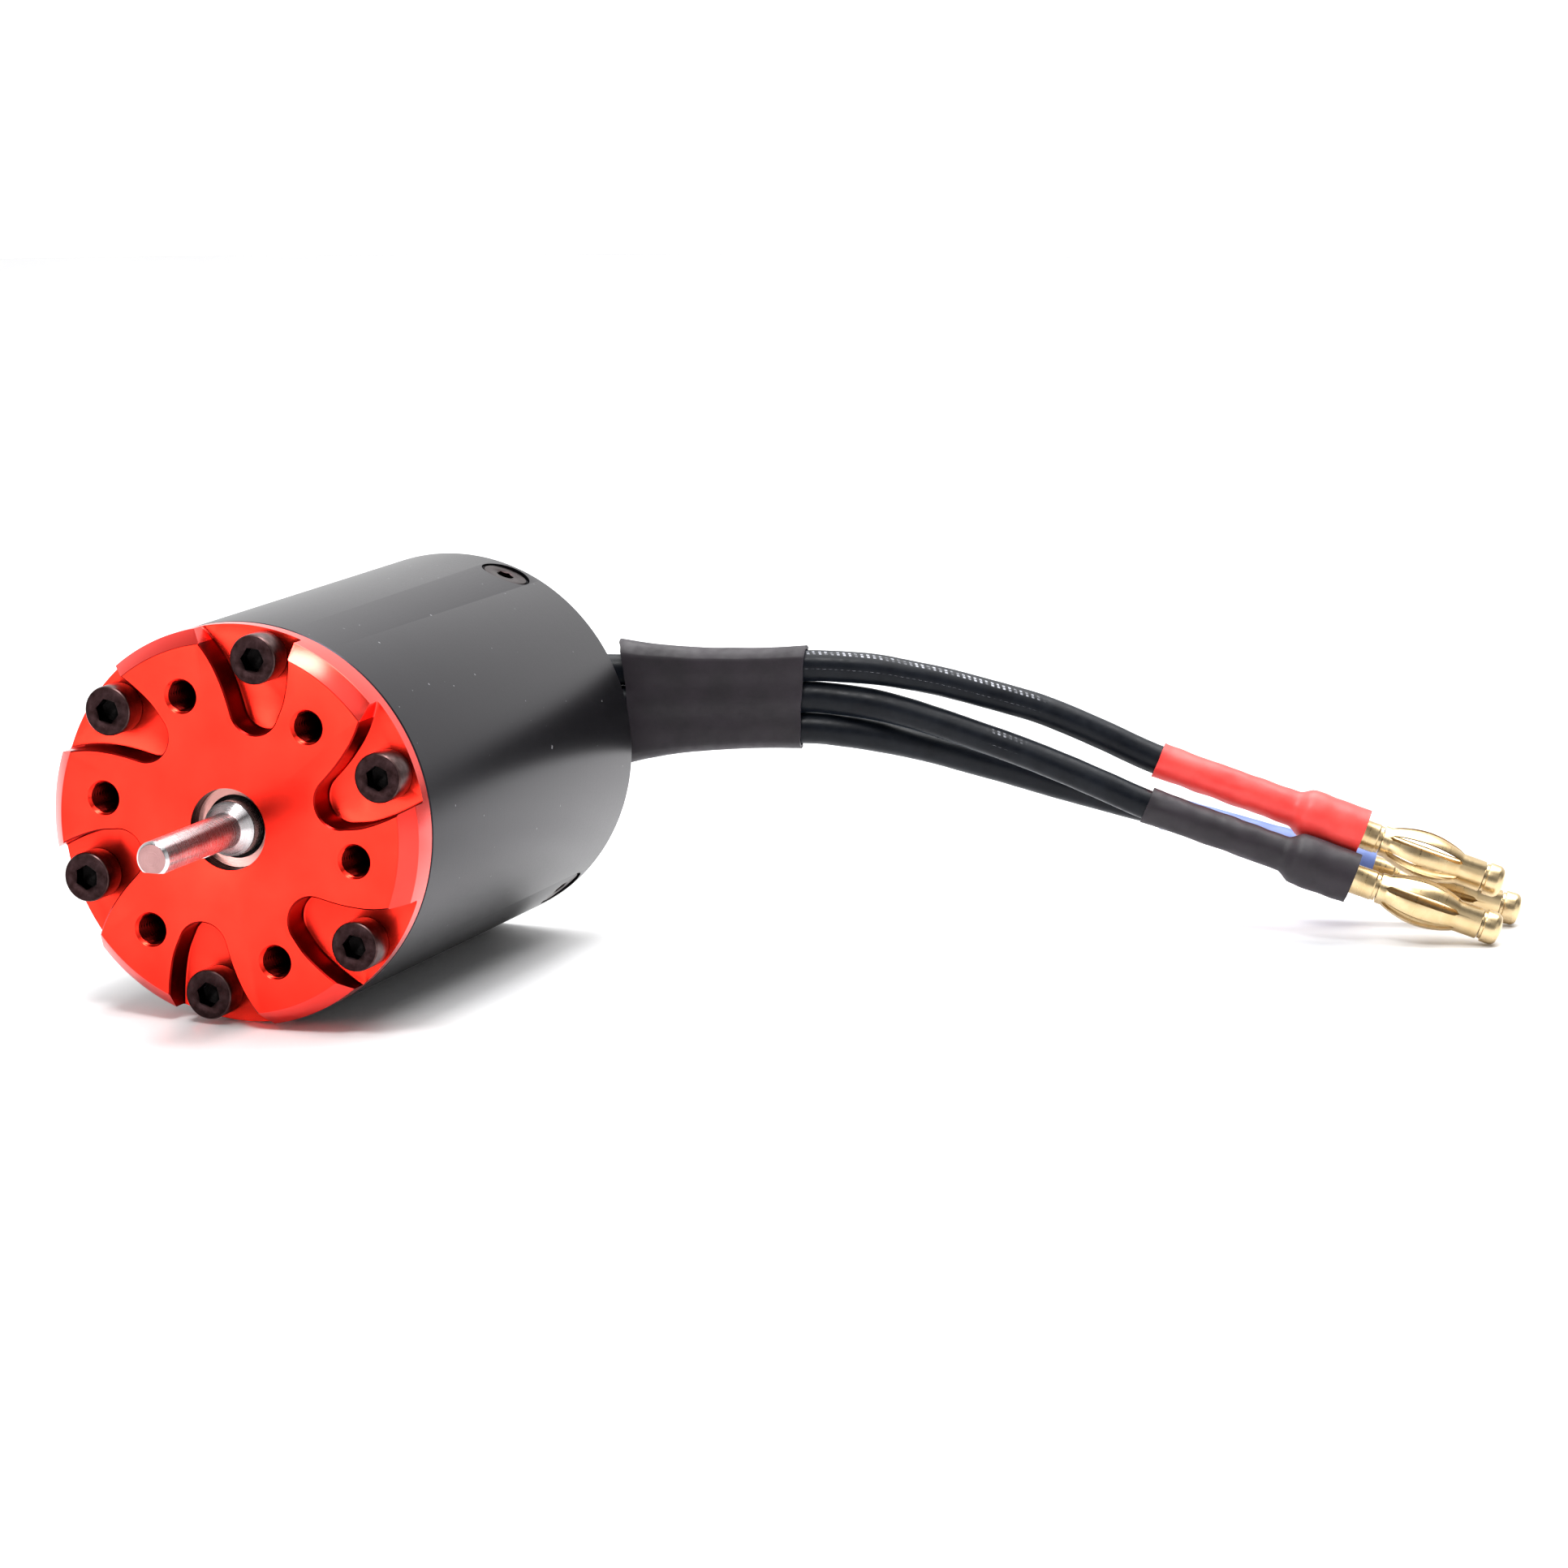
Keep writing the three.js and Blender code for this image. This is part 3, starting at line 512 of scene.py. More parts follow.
# dip and roll are in degrees, rank is 1 for the top lead, slip moves the sleeve along, swell is the cup's
PLUGS = {
    "red": {"tip": (95.6, 59.8, 5.6), "dip": 18.9, "rank": 1, "roll": 32, "slip": 0.7, "swell": 0.68},
    "black": {"tip": (96.2, 56.8, 1.65), "dip": 18.7, "rank": 0, "roll": 18, "slip": 0.0, "swell": 0.80},
    "blue": {"tip": (95.8, 66.2, 1.65), "dip": 14.5, "rank": -1, "roll": 5, "slip": 0.0, "swell": 0.55},
}

# Points of each lead between the main sleeve and its plug's sleeve
FREE_ROUTES = {
    "red": [(35.4, 43.1, 25.3), (38.5, 43.9, 25.1), (41.5, 44.8, 24.6), (44.4, 45.8, 24), (47.4, 46.8, 23.2),
            (50.4, 47.8, 22.35), (53.3, 48.8, 21.45), (56.3, 49.7, 20.25), (59.4, 50.7, 18.85)],
    "black": [(35.5, 43, 22.1), (38.6, 43.6, 21.7), (41.7, 44.2, 21), (44.8, 44.8, 20.1),
              (47.9, 45.4, 19.1), (51, 46, 18.1), (54.1, 46.6, 17), (57.2, 47.2, 15.8), (60.3, 47.9, 14.5)],
    "blue": [(35.4, 43.2, 19), (38.3, 44.4, 18.5), (41.1, 45.8, 17.8), (43.9, 47.5, 16.9),
             (46.6, 49.2, 15.9), (49.3, 51, 14.9), (52.1, 52.8, 13.8), (54.9, 54.4, 12.8),
             (57.8, 55.9, 11.85), (60.7, 57.2, 10.95)],
}

SLEEVE_START = Vector((15, 38.7, 21.45))
SLEEVE_END = Vector((32.4, 42.4, 22.3))
REAR_FACE_Y = CAN_HIGH.y / MM
GROMMET_LOW, GROMMET_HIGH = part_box("lead_grommet")
OUTLET = Vector((
    (GROMMET_LOW.x + GROMMET_HIGH.x) / 2 / MM, REAR_FACE_Y + 0.2, (GROMMET_LOW.z + GROMMET_HIGH.z) / 2 / MM))
TURN_R, TURN_ANGLE, TURN_STEPS = 5.8, 78, 4  # the bend behind the motor
TURN_START_Y = REAR_FACE_Y + 0.85


def plug_direction(plug):
    level = math.cos(rad(plug["dip"]))
    heading = rad(PLUG_HEADING)
    return Vector((level * math.cos(heading), level * math.sin(heading), -math.sin(rad(plug["dip"]))))


def plug_mouth(plug):
    """Middle of the open end of a plug's sleeve, where its lead enters."""
    return Vector(plug["tip"]) - plug_direction(plug) * TIP_STATION


def lead_route(color):
    """Out of the grommet, round the bend, through the main sleeve, along the free stretch, into the plug."""
    plug = PLUGS[color]
    lift = Vector((0, 0, plug["rank"] * LEAD_PITCH))
    points = [OUTLET + lift]
    for step in range(TURN_STEPS + 1):
        turn = rad(TURN_ANGLE) * step / TURN_STEPS
        x, y = OUTLET.x + TURN_R * (1 - math.cos(turn)), TURN_START_Y + TURN_R * math.sin(turn)
        points.append(Vector((x, y, OUTLET.z)) + lift)
    points += [SLEEVE_START.lerp(SLEEVE_END, t) + lift for t in (0.1, 0.4, 0.7, 1)]
    points += [Vector(p) for p in FREE_ROUTES[color]]
    for depth in (0, LEAD_IN_SLEEVE / 2, LEAD_IN_SLEEVE):
        points.append(plug_mouth(plug) + plug_direction(plug) * depth)
    return evenly(catmull(points), LEAD_STEP)


def side_and_up(direction):
    """The horizontal side of a direction, to the right of it, and what is up from it."""
    side = direction.cross(Vector((0, 0, 1))).normalized()
    return side, side.cross(direction).normalized()


# Where the print on each lead starts and ends in X, and its strength
PRINTED = {"red": (31.0, 54.0, 1.0), "black": (49.0, 52.8, 0.8), "blue": (0.0, 0.0, 0.0)}


def print_strength(color, x):
    """How strongly the lead is printed where it passes this x."""
    start, end, strength = PRINTED[color]
    fade_in, fade_out = 0.8, 2.5
    return strength * max(0.0, min(1.0, (x - start) / fade_in, (end - x) / fade_out))


def squeezed(x):
    """How much fatter a lead is where the sleeve presses the three together, and a little beyond."""
    most, end, fade = 0.062, 42.5, 4.5
    return 1 + most * max(0.0, min(1.0, (end - x) / fade))


def lead(color):
    """A lead's piece and route. Its attributes tell the material where, and how strongly, it is printed."""
    route = lead_route(color)
    sides, unevenness, waves_per_step = 28, 0.012, 0.22
    seed = PLUGS[color]["rank"] * 40.0
    loops, along, around, printed = [], [], [], []
    for i, point in enumerate(route):
        ahead = route[min(i + 1, len(route) - 1)] - route[max(i - 1, 0)]
        side, up = side_and_up(ahead.normalized())
        loop = []
        for k in range(sides):
            turn = TAU * k / sides
            out = side * math.cos(turn) + up * math.sin(turn)
            bulge = noise.noise(Vector((waves_per_step * i + seed, math.cos(turn), math.sin(turn))))
            swell = 1 + unevenness * bulge
            loop.append(point + out * LEAD_R * swell * squeezed(point.x))
            along.append(LEAD_STEP * i)
            around.append(turn)
            printed.append(print_strength(color, point.x))
        loops.append(loop)
    mesh = mesh_from(loft(loops), f"lead_{color}", ["black_lead"], sharp=50)
    for name, values in (("along", along), ("around", around), ("printed", printed)):
        mesh.attributes.new(name, "FLOAT", "POINT").data.foreach_set("value", values)
    obj = piece(f"lead_wire_{color}", mesh, "housing", Matrix(), [f"lead_{color}"])
    return obj, route


leads = {color: lead(color) for color in PLUGS}

# ------------------------ main sleeve

SLEEVE_HALF_HEIGHT, SLEEVE_HALF_WIDTH = 4.86, 1.86


def sleeve_section(t, shell, turn):
    """A point of the flat sleeve's section: out to the side and up, for a station t from 0 to 1.

    The tube has shrunk on to three leads, so it is waisted and dips a little between them.
    """
    near_flare, far_flare, dip, wrinkling = 0.16, 0.035, 0.09, 0.05
    flare = near_flare * (1 - t) ** 3 + far_flare * t**6
    half_height = (SLEEVE_HALF_HEIGHT + 4.6 * flare) - shell
    half_width = (SLEEVE_HALF_WIDTH + 1.3 * flare) - shell
    straight = half_height - half_width
    c, s = math.cos(turn), math.sin(turn)
    side = half_width * c
    up = half_width * s + max(-straight, min(straight, straight * 1.9 * s))
    dips = dip * (1 - math.cos(TAU * up / LEAD_PITCH)) / 2 * (abs(up) < straight)
    wrinkle = wrinkling * noise.noise(Vector((9 * t, 1.5 * c, 0.5 * up)))
    return side * (1 - dips) + math.copysign(wrinkle, c), up + 0.5 * wrinkle


def sleeve_cut(t, turn, high):
    """How far back a point lies because both ends were cut by hand.

    Both corners run on at the motor's end, the far end leans, and both edges wander.
    """
    near, far = (1 - t) ** 6 * (0.38 * (high / 5) ** 2 + 0.12 * (high / 5) ** 3), t**8
    return near + far * (0.75 - 0.09 * high) + 0.12 * noise.noise(Vector((3 * turn, 5 * t, 2.0)))


def main_sleeve():
    axis = SLEEVE_END - SLEEVE_START
    side, up = side_and_up(axis.normalized())
    stations, sides, wall = 36, 96, 0.34
    slackness, slack_from = 0.24, 3.5  # its corners stand away from the leads at the motor's end
    outer, inner = [], []
    for i in range(stations + 1):
        t = i / stations
        for shell, loops in ((0.0, outer), (wall, inner)):
            loop = []
            for k in range(sides):
                turn = TAU * k / sides
                out, high = sleeve_section(t, shell, turn)
                cut = axis.normalized() * sleeve_cut(t, turn, high)
                slack = slackness * (1 - t) ** 4 * math.copysign(max(0.0, abs(high) - slack_from), high)
                loop.append(SLEEVE_START + axis * t - cut + side * out + up * (high + slack))
            loops.append(loop)
    skin = loft(outer + inner[::-1], caps=False)
    mesh = mesh_from(skin, "main_sleeve", ["black_shrink"], sharp=45)
    return piece("shrink_over_leads", mesh, "housing", Matrix(), ["main_sleeve"])


shrink = main_sleeve()

# ------------------------ plugs


def plug_place(plug, roll=0):
    """Frame of a plug: origin at the sleeve's mouth, Y along the plug, Z up."""
    direction = plug_direction(plug)
    side, up = side_and_up(direction)
    matrix = Matrix((side, direction, up)).transposed().to_4x4()
    matrix.translation = plug_mouth(plug) * MM
    return matrix @ Matrix.Rotation(-rad(roll), 4, "Y")


def plug_sleeve(color, seed):
    """Heat-shrink that steps up from the lead to the solder cup, with soft wrinkles and hand-cut ends."""
    sides, wall, edge_fade = 48, 0.27, 1.5
    over_lead_r, step_from, step_length, shoulder_y = 1.70, 13.7, 1.5, 16.3
    stations = [PLUG_SLEEVE_LENGTH * i / 60 for i in range(61)]
    slip, swell = PLUGS[color]["slip"], PLUGS[color]["swell"]

    def shell_radius(y):
        rise = min(1, max(0, (y - step_from) / step_length))
        step = rise * rise * (3 - 2 * rise)
        shoulder = 0.07 * math.exp(-((y - shoulder_y) / 0.8) ** 2)
        mouth = 0.05 * math.exp(-y / 0.7)
        tuck = 0.03 * max(0, y - 19)
        return over_lead_r + swell * step + shoulder + mouth - tuck

    def loop(y, inset):
        points = []
        for k in range(sides):
            turn = TAU * k / sides
            c, s = math.cos(turn), math.sin(turn)
            ripple = 0.14 * swell * noise.noise(Vector((0.55 * y + seed, 1.3 * c, 1.3 * s)))
            r = shell_radius(y) + ripple - inset
            ends = math.exp(-y / edge_fade) + math.exp((y - PLUG_SLEEVE_LENGTH) / edge_fade)
            lean = (0.09 * s + 0.05 * noise.noise(Vector((2 * c, 2 * s, seed)))) * ends
            points.append((r * c, y + lean + slip, r * s))
        return points

    skin = loft([loop(y, 0) for y in stations] + [loop(y, wall) for y in reversed(stations)], caps=False)
    mesh = mesh_from(skin, f"plug_sleeve_{color}", [f"{color}_shrink"], sharp=45)
    return piece(f"shrink_{color}", mesh, "housing", plug_place(PLUGS[color]),
                 [f"plug_sleeve_{color}"])


PIN_OUTLINE = soften([
    (0, 14.9), (1.60, 14.9, 0.1), (1.60, 20.4, 0.1), (1.42, 20.7), (1.42, 22.9, 0.08), (1.34, 23.0),
    (1.34, 23.3), (0.85, 23.3), (0.85, 33.7), (1.36, 33.7), (1.36, 33.95), (1.58, 34.0, 0.05),
    (1.58, 35.1, 0.2), (1.3, 35.5, 0.2), (0.4, 35.7), (0, 35.7),
])


def bullet_pin(color):
    mesh = mesh_from(lathe(PIN_OUTLINE, 64), f"bullet_pin_{color}", ["gold_plate"])
    return piece(f"bullet_core_{color}", mesh, "housing", plug_place(PLUGS[color]),
                 [f"bullet_pin_{color}"])


# Stations along the plug and radii of the sprung cage: its slots lie between bow_from and bow_to
CAGE = {"from": 23.4, "bow_from": 24.1, "bow_to": 31.3, "to": 33.6, "ring": 1.5, "bulge": 2.3, "wall": 0.3}


def cage_shell():
    stations, fullness, edge = 28, 0.85, 0.06
    ring, wall = CAGE["ring"], CAGE["wall"]
    outer = []
    for i in range(stations + 1):
        t = i / stations
        y = CAGE["bow_from"] + (CAGE["bow_to"] - CAGE["bow_from"]) * t
        outer.append((ring + (CAGE["bulge"] - ring) * math.sin(math.pi * t) ** fullness, y))
    inner = [(r - wall, y) for r, y in reversed(outer)]
    outline = [(ring - edge, CAGE["from"]), (ring, CAGE["from"] + 0.1), *outer, (ring, CAGE["to"] - 0.1),
               (ring - edge, CAGE["to"]), (ring - wall, CAGE["to"]), *inner, (ring - wall, CAGE["from"])]
    return lathe(outline, 96)


def cage_slot(turn):
    """A leaf-shaped blade through the cage and its axis."""
    steps, widest, bluntness = 18, 0.46, 0.28
    first, last = CAGE["bow_from"] - 0.1, CAGE["bow_to"] + 0.1
    upper, lower = [], []
    for i in range(1, steps):
        t = i / steps
        half = widest * math.sin(math.pi * t) ** bluntness
        y = first + (last - first) * t
        upper.append((y, half))
        lower.append((y, -half))
    outline = [(first, 0.0), *upper, (last, 0.0), *reversed(lower)]
    blade = loft([[(x, y, z) for y, z in outline] for x in (-4, 4)])
    return moved(blade, Matrix.Rotation(rad(turn), 4, "Y"))


def bullet_cage(color):
    mesh = bpy.data.meshes.get("cage") or mesh_from(
        carve(cage_shell(), cage_slot(0), cage_slot(60), cage_slot(120)), "cage", ["gold_plate"])
    return piece(f"bullet_spring_{color}", mesh, "housing",
                 plug_place(PLUGS[color], PLUGS[color]["roll"]), [f"bullet_cage_{color}"])


for number, (color, plug) in enumerate(PLUGS.items()):
    plug_pieces = [plug_sleeve(color, 7.0 * number), bullet_pin(color), bullet_cage(color)]
    wire, route = leads[color]
    line_length(route) * MM

# ------------------------ front endbell

PLATE_T = 4.2  # the part of the endbell ahead of the can
PLATE_BEVEL = 1.33
SPIGOT_R = 13.6
SPIGOT_END = (PLATE_HIGH.y - FRONT_Y) / MM
POCKET_DEPTH = 2.9
NOSE_BORE_R, LIP_R, LIP_Y = 3.69, 2.85, 1.6  # the lip keeps the front bearing in
BEARING_SEAT_R, BEARING_SEAT_Y = 6.58, 1.95
SCREWS = [f"front_screw_{i + 1}" for i in range(6)]
SCREW_HOLE_R = 1.45
HOLE_TURN = 30  # the tapped holes lie midway between the screws
TAPPED_CIRCLE_R = 12.5
ROUND = 240  # sides of the motor's outside


def screw_angle(node):
    """Degrees from +X towards +Z."""
    x, z, _, _ = motor_place(node)
    return math.degrees(math.atan2(z, x))


def on_circle(r, degrees):
    return r * math.cos(rad(degrees)), r * math.sin(rad(degrees))


def pocket_outline():
    """A screw pocket's edge in the plate's face: x runs out along the screw's radius, and y across it."""
    nose_u, nose_v, nose_r = 11.3, -0.95, 2.35
    near = catmull([(20.5, -2.7, 0), (18, -3.33, 0), (16.1, -3.6, 0), (14.5, -3.71, 0), (12.5, -3.64, 0),
                    (10.5, -3.16, 0)], 6)
    nose = [Vector((nose_u + nose_r * math.cos(rad(a)), nose_v + nose_r * math.sin(rad(a)), 0))
            for a in range(244, 118, -6)]
    far = catmull([(10.31, 1.18, 0), (11.8, 1.93, 0), (13.2, 2.78, 0), (14.6, 3.84, 0), (15.9, 5.2, 0),
                   (17.2, 7, 0), (18.6, 9.2, 0), (20.5, 12.4, 0)], 6)
    return near + nose + far


def pocket_cutter(degrees):
    """Cuts a pocket with a broken edge at the face and a fillet round its floor."""
    outline = pocket_outline()
    count = len(outline)
    area = sum(outline[i - 1].x * outline[i].y - outline[i].x * outline[i - 1].y for i in range(count))
    outward = []
    for i in range(count):
        run = (outline[(i + 1) % count] - outline[i - 1]).normalized()
        outward.append(Vector((run.y, -run.x, 0)) * math.copysign(1, area))
    edge, root = 0.13, 0.28
    depths = [(-0.4, edge + 0.4), (edge, 0), (POCKET_DEPTH - root, 0),
              (POCKET_DEPTH - 0.55 * root, -0.12 * root), (POCKET_DEPTH - 0.2 * root, -0.42 * root),
              (POCKET_DEPTH, -root)]
    loops = []
    for depth, offset in depths:
        shifted = [p + n * offset for p, n in zip(outline, outward)]
        loops.append([(p.x, depth, p.y) for p in shifted])
    return moved(loft(loops), Matrix.Rotation(-rad(degrees), 4, "Y"))


def tapped_cutter(x, z):
    """An M3 thread with a countersunk mouth, for the first part of the hole, and a plain hole behind it."""
    major, minor, pitch, mouth = 1.5, 1.26, 0.5, 1.62
    sides, rows_per_turn, threaded = 40, 8, 4.5
    loops = []
    rows = int(threaded / pitch * rows_per_turn)
    turns = [pitch * i / rows_per_turn + 0.02 for i in range(rows)]
    for y in (-0.5, *turns, threaded + 0.2, SPIGOT_END + 1):
        loop = []
        for k in range(sides):
            phase = (y / pitch - k / sides) % 1
            depth = min(1, 1.35 * (1 - abs(2 * phase - 1))) if 0 < y < threaded else 0
            r = max(minor + (major - minor) * depth, mouth - max(0, y))
            turn = TAU * k / sides
            loop.append((x + r * math.cos(turn), y, z + r * math.sin(turn)))
        loops.append(loop)
    return loft(loops)


def hole_cutter(r, start, end, x, z):
    return moved(lathe([(0, start), (r, start), (r, end), (0, end)], 48), Matrix.Translation((x, 0, z)))


def front_endbell():
    body = lathe(soften([
        (NOSE_BORE_R, 0, 0.05), (CAN_R - PLATE_BEVEL, 0, 0.06), (CAN_R, PLATE_BEVEL, 0.06),
        (CAN_R, PLATE_T - 0.14), (CAN_R - 0.14, PLATE_T), (SPIGOT_R, PLATE_T), (SPIGOT_R, SPIGOT_END, 0.3),
        (BEARING_SEAT_R, SPIGOT_END, 0.2), (BEARING_SEAT_R, BEARING_SEAT_Y), (LIP_R, BEARING_SEAT_Y),
        (LIP_R, LIP_Y, 0.05), (NOSE_BORE_R, LIP_Y, 0.06),
    ]), ROUND)
    angles = [screw_angle(node) for node in SCREWS]
    pockets = gathered([pocket_cutter(a) for a in angles])
    centres = [on_circle(TAPPED_CIRCLE_R, a + HOLE_TURN) for a in angles]
    tapped = gathered([tapped_cutter(x, z) for x, z in centres])
    holes = gathered([hole_cutter(SCREW_HOLE_R, 1, 6, *motor_place(node)[:2]) for node in SCREWS])

    finishes_and_painted_light = ["red_anodised", "red_anodised_turned", "bare_aluminium_painted_reflection", "bore_wall_painted_shade", "red_anodised_painted_shade",
                "red_anodised_painted_hole_shade"]

    def in_tapped_hole(centre):
        return centre.y > 0.01 and any(math.dist((centre.x, centre.z), hole) < 1.7 for hole in centres)

    def paint(centre, normal):
        """Bare in the nose, pink there as a painted reflection, with painted shade on the nose's walls,
        turned on the bevel, and painted shade in the tapped holes and on the pockets' walls.
        """
        r = math.hypot(centre.x, centre.z)
        outwards = (centre.x * normal.x + centre.z * normal.z) / r
        # In the nose, forward faces are bare aluminium tinted pink as a painted reflection, and the other
        # faces get painted shade.
        if r < BEARING_SEAT_R + 0.03 and centre.y > 0.04:
            chosen = "bare_aluminium_painted_reflection" if -normal.y > 0.5 else "bore_wall_painted_shade"
        elif r > CAN_R - PLATE_BEVEL and outwards > 0.3:
            chosen = "red_anodised_turned"
        elif in_tapped_hole(centre):
            # Deeper than 0.3 mm, a tapped hole is painted near-black as shade.
            chosen = "red_anodised_painted_hole_shade" if centre.y > 0.3 else "red_anodised"
        # The pockets' steep walls are painted dark red as shade.
        elif -normal.y < 0.75:
            chosen = "red_anodised_painted_shade"
        else:
            chosen = "red_anodised"
        return finishes_and_painted_light.index(chosen)

    mesh = mesh_from(carve(body, pockets, tapped, holes), "front_endbell", finishes_and_painted_light, sharp=28, paint=paint)
    return piece("front_plate", mesh, "housing", MOTOR, ["front_endbell"])


front_endbell()

# ------------------------ screws


def hex_cutter(across_flats, depth, entry=0.10):
    """A hexagon socket with a small cone at its mouth and the drill's point at its floor."""
    corner = across_flats / math.sqrt(3)

    def loop(y, r):
        return [(r * math.cos(TAU * k / 6), y, r * math.sin(TAU * k / 6)) for k in range(6)]

    socket = loft([loop(-0.5, corner), loop(depth, corner), loop(depth + 0.3, 0.25)])
    flat, flare = across_flats / 2 - 0.02, 2.0
    cone = lathe([(0, -0.3), (flat + flare * (entry + 0.3), -0.3), (flat, entry), (0, entry)], 48)
    return [socket, cone]


def cap_screw_paint(centre, normal):
    """0 is the head's face, 1 its socket, painted near-black as shade, and 2 its side, painted lighter as a
    sheen.
    """
    r = math.hypot(centre.x, centre.z)
    if r > 2.1 and normal.y > -0.8:
        return 2
    return 1 if r < 1.16 and 0.06 < centre.y < 2 else 0


def cap_screw_mesh():
    head_r, head_height, shank_r, length = 2.25, 2.48, 1.18, 10.1
    body = lathe(soften([
        (0, 0), (head_r, 0, 0.27), (head_r, head_height, 0.08), (shank_r + 0.15, head_height),
        (shank_r, head_height + 0.15), (shank_r, length - 0.25), (shank_r - 0.25, length), (0, length),
    ]), 80)
    return mesh_from(carve(body, *hex_cutter(2.0, 1.3)), "cap_screw",
                     ["black_oxide_steel", "painted_shade_steel", "painted_sheen_oxide_steel"], paint=cap_screw_paint)


CAP_SCREW = cap_screw_mesh()
SOCKET_TURNS = (4, 22, 9, 17, 30, 12)  # each screw stopped at its own angle, in degrees

for node, turn in zip(SCREWS, SOCKET_TURNS):
    x, z, start, _ = motor_place(node)
    place = MOTOR @ Matrix.Translation(Vector((x, start, z)) * MM) @ Matrix.Rotation(rad(turn), 4, "Y")
    piece(node.replace("front_screw", "cap_screw"), CAP_SCREW, "housing", place, [node])


REAR_SCREW_Y = sum(motor_place("rear_screw_1")[2:]) / 2
REAR_SCREWS = [f"rear_screw_{i + 1}" for i in range(3)]
REAR_HEAD_R = CAN_R - 0.2


def inwards(node):
    """Frame of a radial screw, in millimetres: origin at its head's face, Y towards the motor's axis."""
    angle = screw_angle(node)
    x, z = on_circle(REAR_HEAD_R, angle)
    out = Vector((math.cos(rad(angle)), 0, math.sin(rad(angle))))
    along = Vector((0, 1, 0))
    matrix = Matrix((along, -out, along.cross(-out))).transposed().to_4x4()
    matrix.translation = Vector((x, REAR_SCREW_Y, z))
    return matrix


def in_metres(matrix):
    scaled = matrix.copy()
    scaled.translation *= MM
    return scaled


def countersink(node):
    outline = [(0, -1.5), (2.4, -1.5), (2.4, 0.2), (1.45, 1.45), (1.45, 5.6), (0, 5.6)]
    return moved(lathe(outline, 64), inwards(node))


COUNTERSUNK = mesh_from(
    carve(lathe(soften([
        (0, 0), (2.1, 0, 0.06), (2.1, 0.2, 0.05), (1.15, 1.25), (1.15, 4.8), (0.95, 5), (0, 5),
    ]), 64), *hex_cutter(1.5, 0.75, 0.08)),
    "countersunk_screw", ["black_oxide_steel"])

for node in REAR_SCREWS:
    piece(node.replace("rear_screw", "countersunk_screw"), COUNTERSUNK, "housing",
          MOTOR @ in_metres(inwards(node)), [node])

# ------------------------ can and rear endbell

SLOT_X, SLOT_Z = OUTLET.x, OUTLET.z - AXIS_Z / MM


def can():
    shoulder_r, shoulder_end, bore_r = 13.8, 11, 16.5
    body = lathe(soften([
        (shoulder_r, CAN_JOINT_Y), (CAN_R - 0.14, CAN_JOINT_Y), (CAN_R, CAN_JOINT_Y + 0.14),
        (CAN_R, BODY_LENGTH, 0.28), (bore_r, BODY_LENGTH, 0.15), (bore_r, shoulder_end),
        (shoulder_r, shoulder_end),
    ]), ROUND)
    holes = [hole_cutter(SCREW_HOLE_R, CAN_JOINT_Y - 1, shoulder_end + 1, *motor_place(node)[:2])
             for node in SCREWS]
    sinks = [countersink(node) for node in REAR_SCREWS]
    mesh = mesh_from(carve(body, gathered(holes), gathered(sinks)), "can", ["black_anodised"], sharp=28)
    return piece("can_tube", mesh, "housing", MOTOR, ["can"])


def stadium(half_width, half_height, y):
    """Points round the upright cable slot, which has round ends."""
    arc = 12
    straight = half_height - half_width
    points = []
    for centre, start in ((straight, 0), (-straight, 180)):
        for i in range(arc + 1):
            x, z = on_circle(half_width, start + 180 * i / arc)
            points.append((SLOT_X + x, y, SLOT_Z + centre + z))
    return points


def rear_endbell():
    outer_r, opening_r, cover, groove = 16.4, 3.2, 0.6, 0.25
    _, _, front, back = motor_place("rear_endbell")
    body = lathe(soften([
        (BEARING_SEAT_R, front), (outer_r, front, 0.3), (outer_r, back, 0.4), (9.6, back),
        (9.2, back - groove, 0.1), (6.4, back - groove, 0.1), (6.0, back, 0.1), (opening_r, back, 0.15),
        (opening_r, back - cover), (BEARING_SEAT_R, back - cover),
    ]), 200)
    slot = loft([stadium(2.2, 5.4, y) for y in (front - 1, back + 1)])
    sinks = [countersink(node) for node in REAR_SCREWS]
    mesh = mesh_from(carve(body, slot, gathered(sinks)), "rear_endbell", ["black_anodised"], sharp=28)
    return piece("rear_plate", mesh, "housing", MOTOR, ["rear_endbell"])


def grommet():
    """Rubber plug with rounded edges and a hole for each lead."""
    _, _, front, back = motor_place("lead_grommet")
    profile = [(front, 0.3), (front + 0.1, 0.1), (front + 0.35, 0),
               (back - 0.4, 0), (back - 0.15, 0.08), (back, 0.3)]
    body = loft([stadium(2.05 - inset, 5.25 - inset, y) for y, inset in profile])
    holes = [hole_cutter(LEAD_R + 0.06, front - 1, back + 1, SLOT_X, SLOT_Z + LEAD_PITCH * rank)
             for rank in (-1, 0, 1)]
    mesh = mesh_from(carve(body, gathered(holes)), "lead_grommet", ["black_rubber"])
    return piece("grommet_rubber", mesh, "housing", MOTOR, ["lead_grommet"])


can()
rear_endbell()
grommet()

# ------------------------ shaft


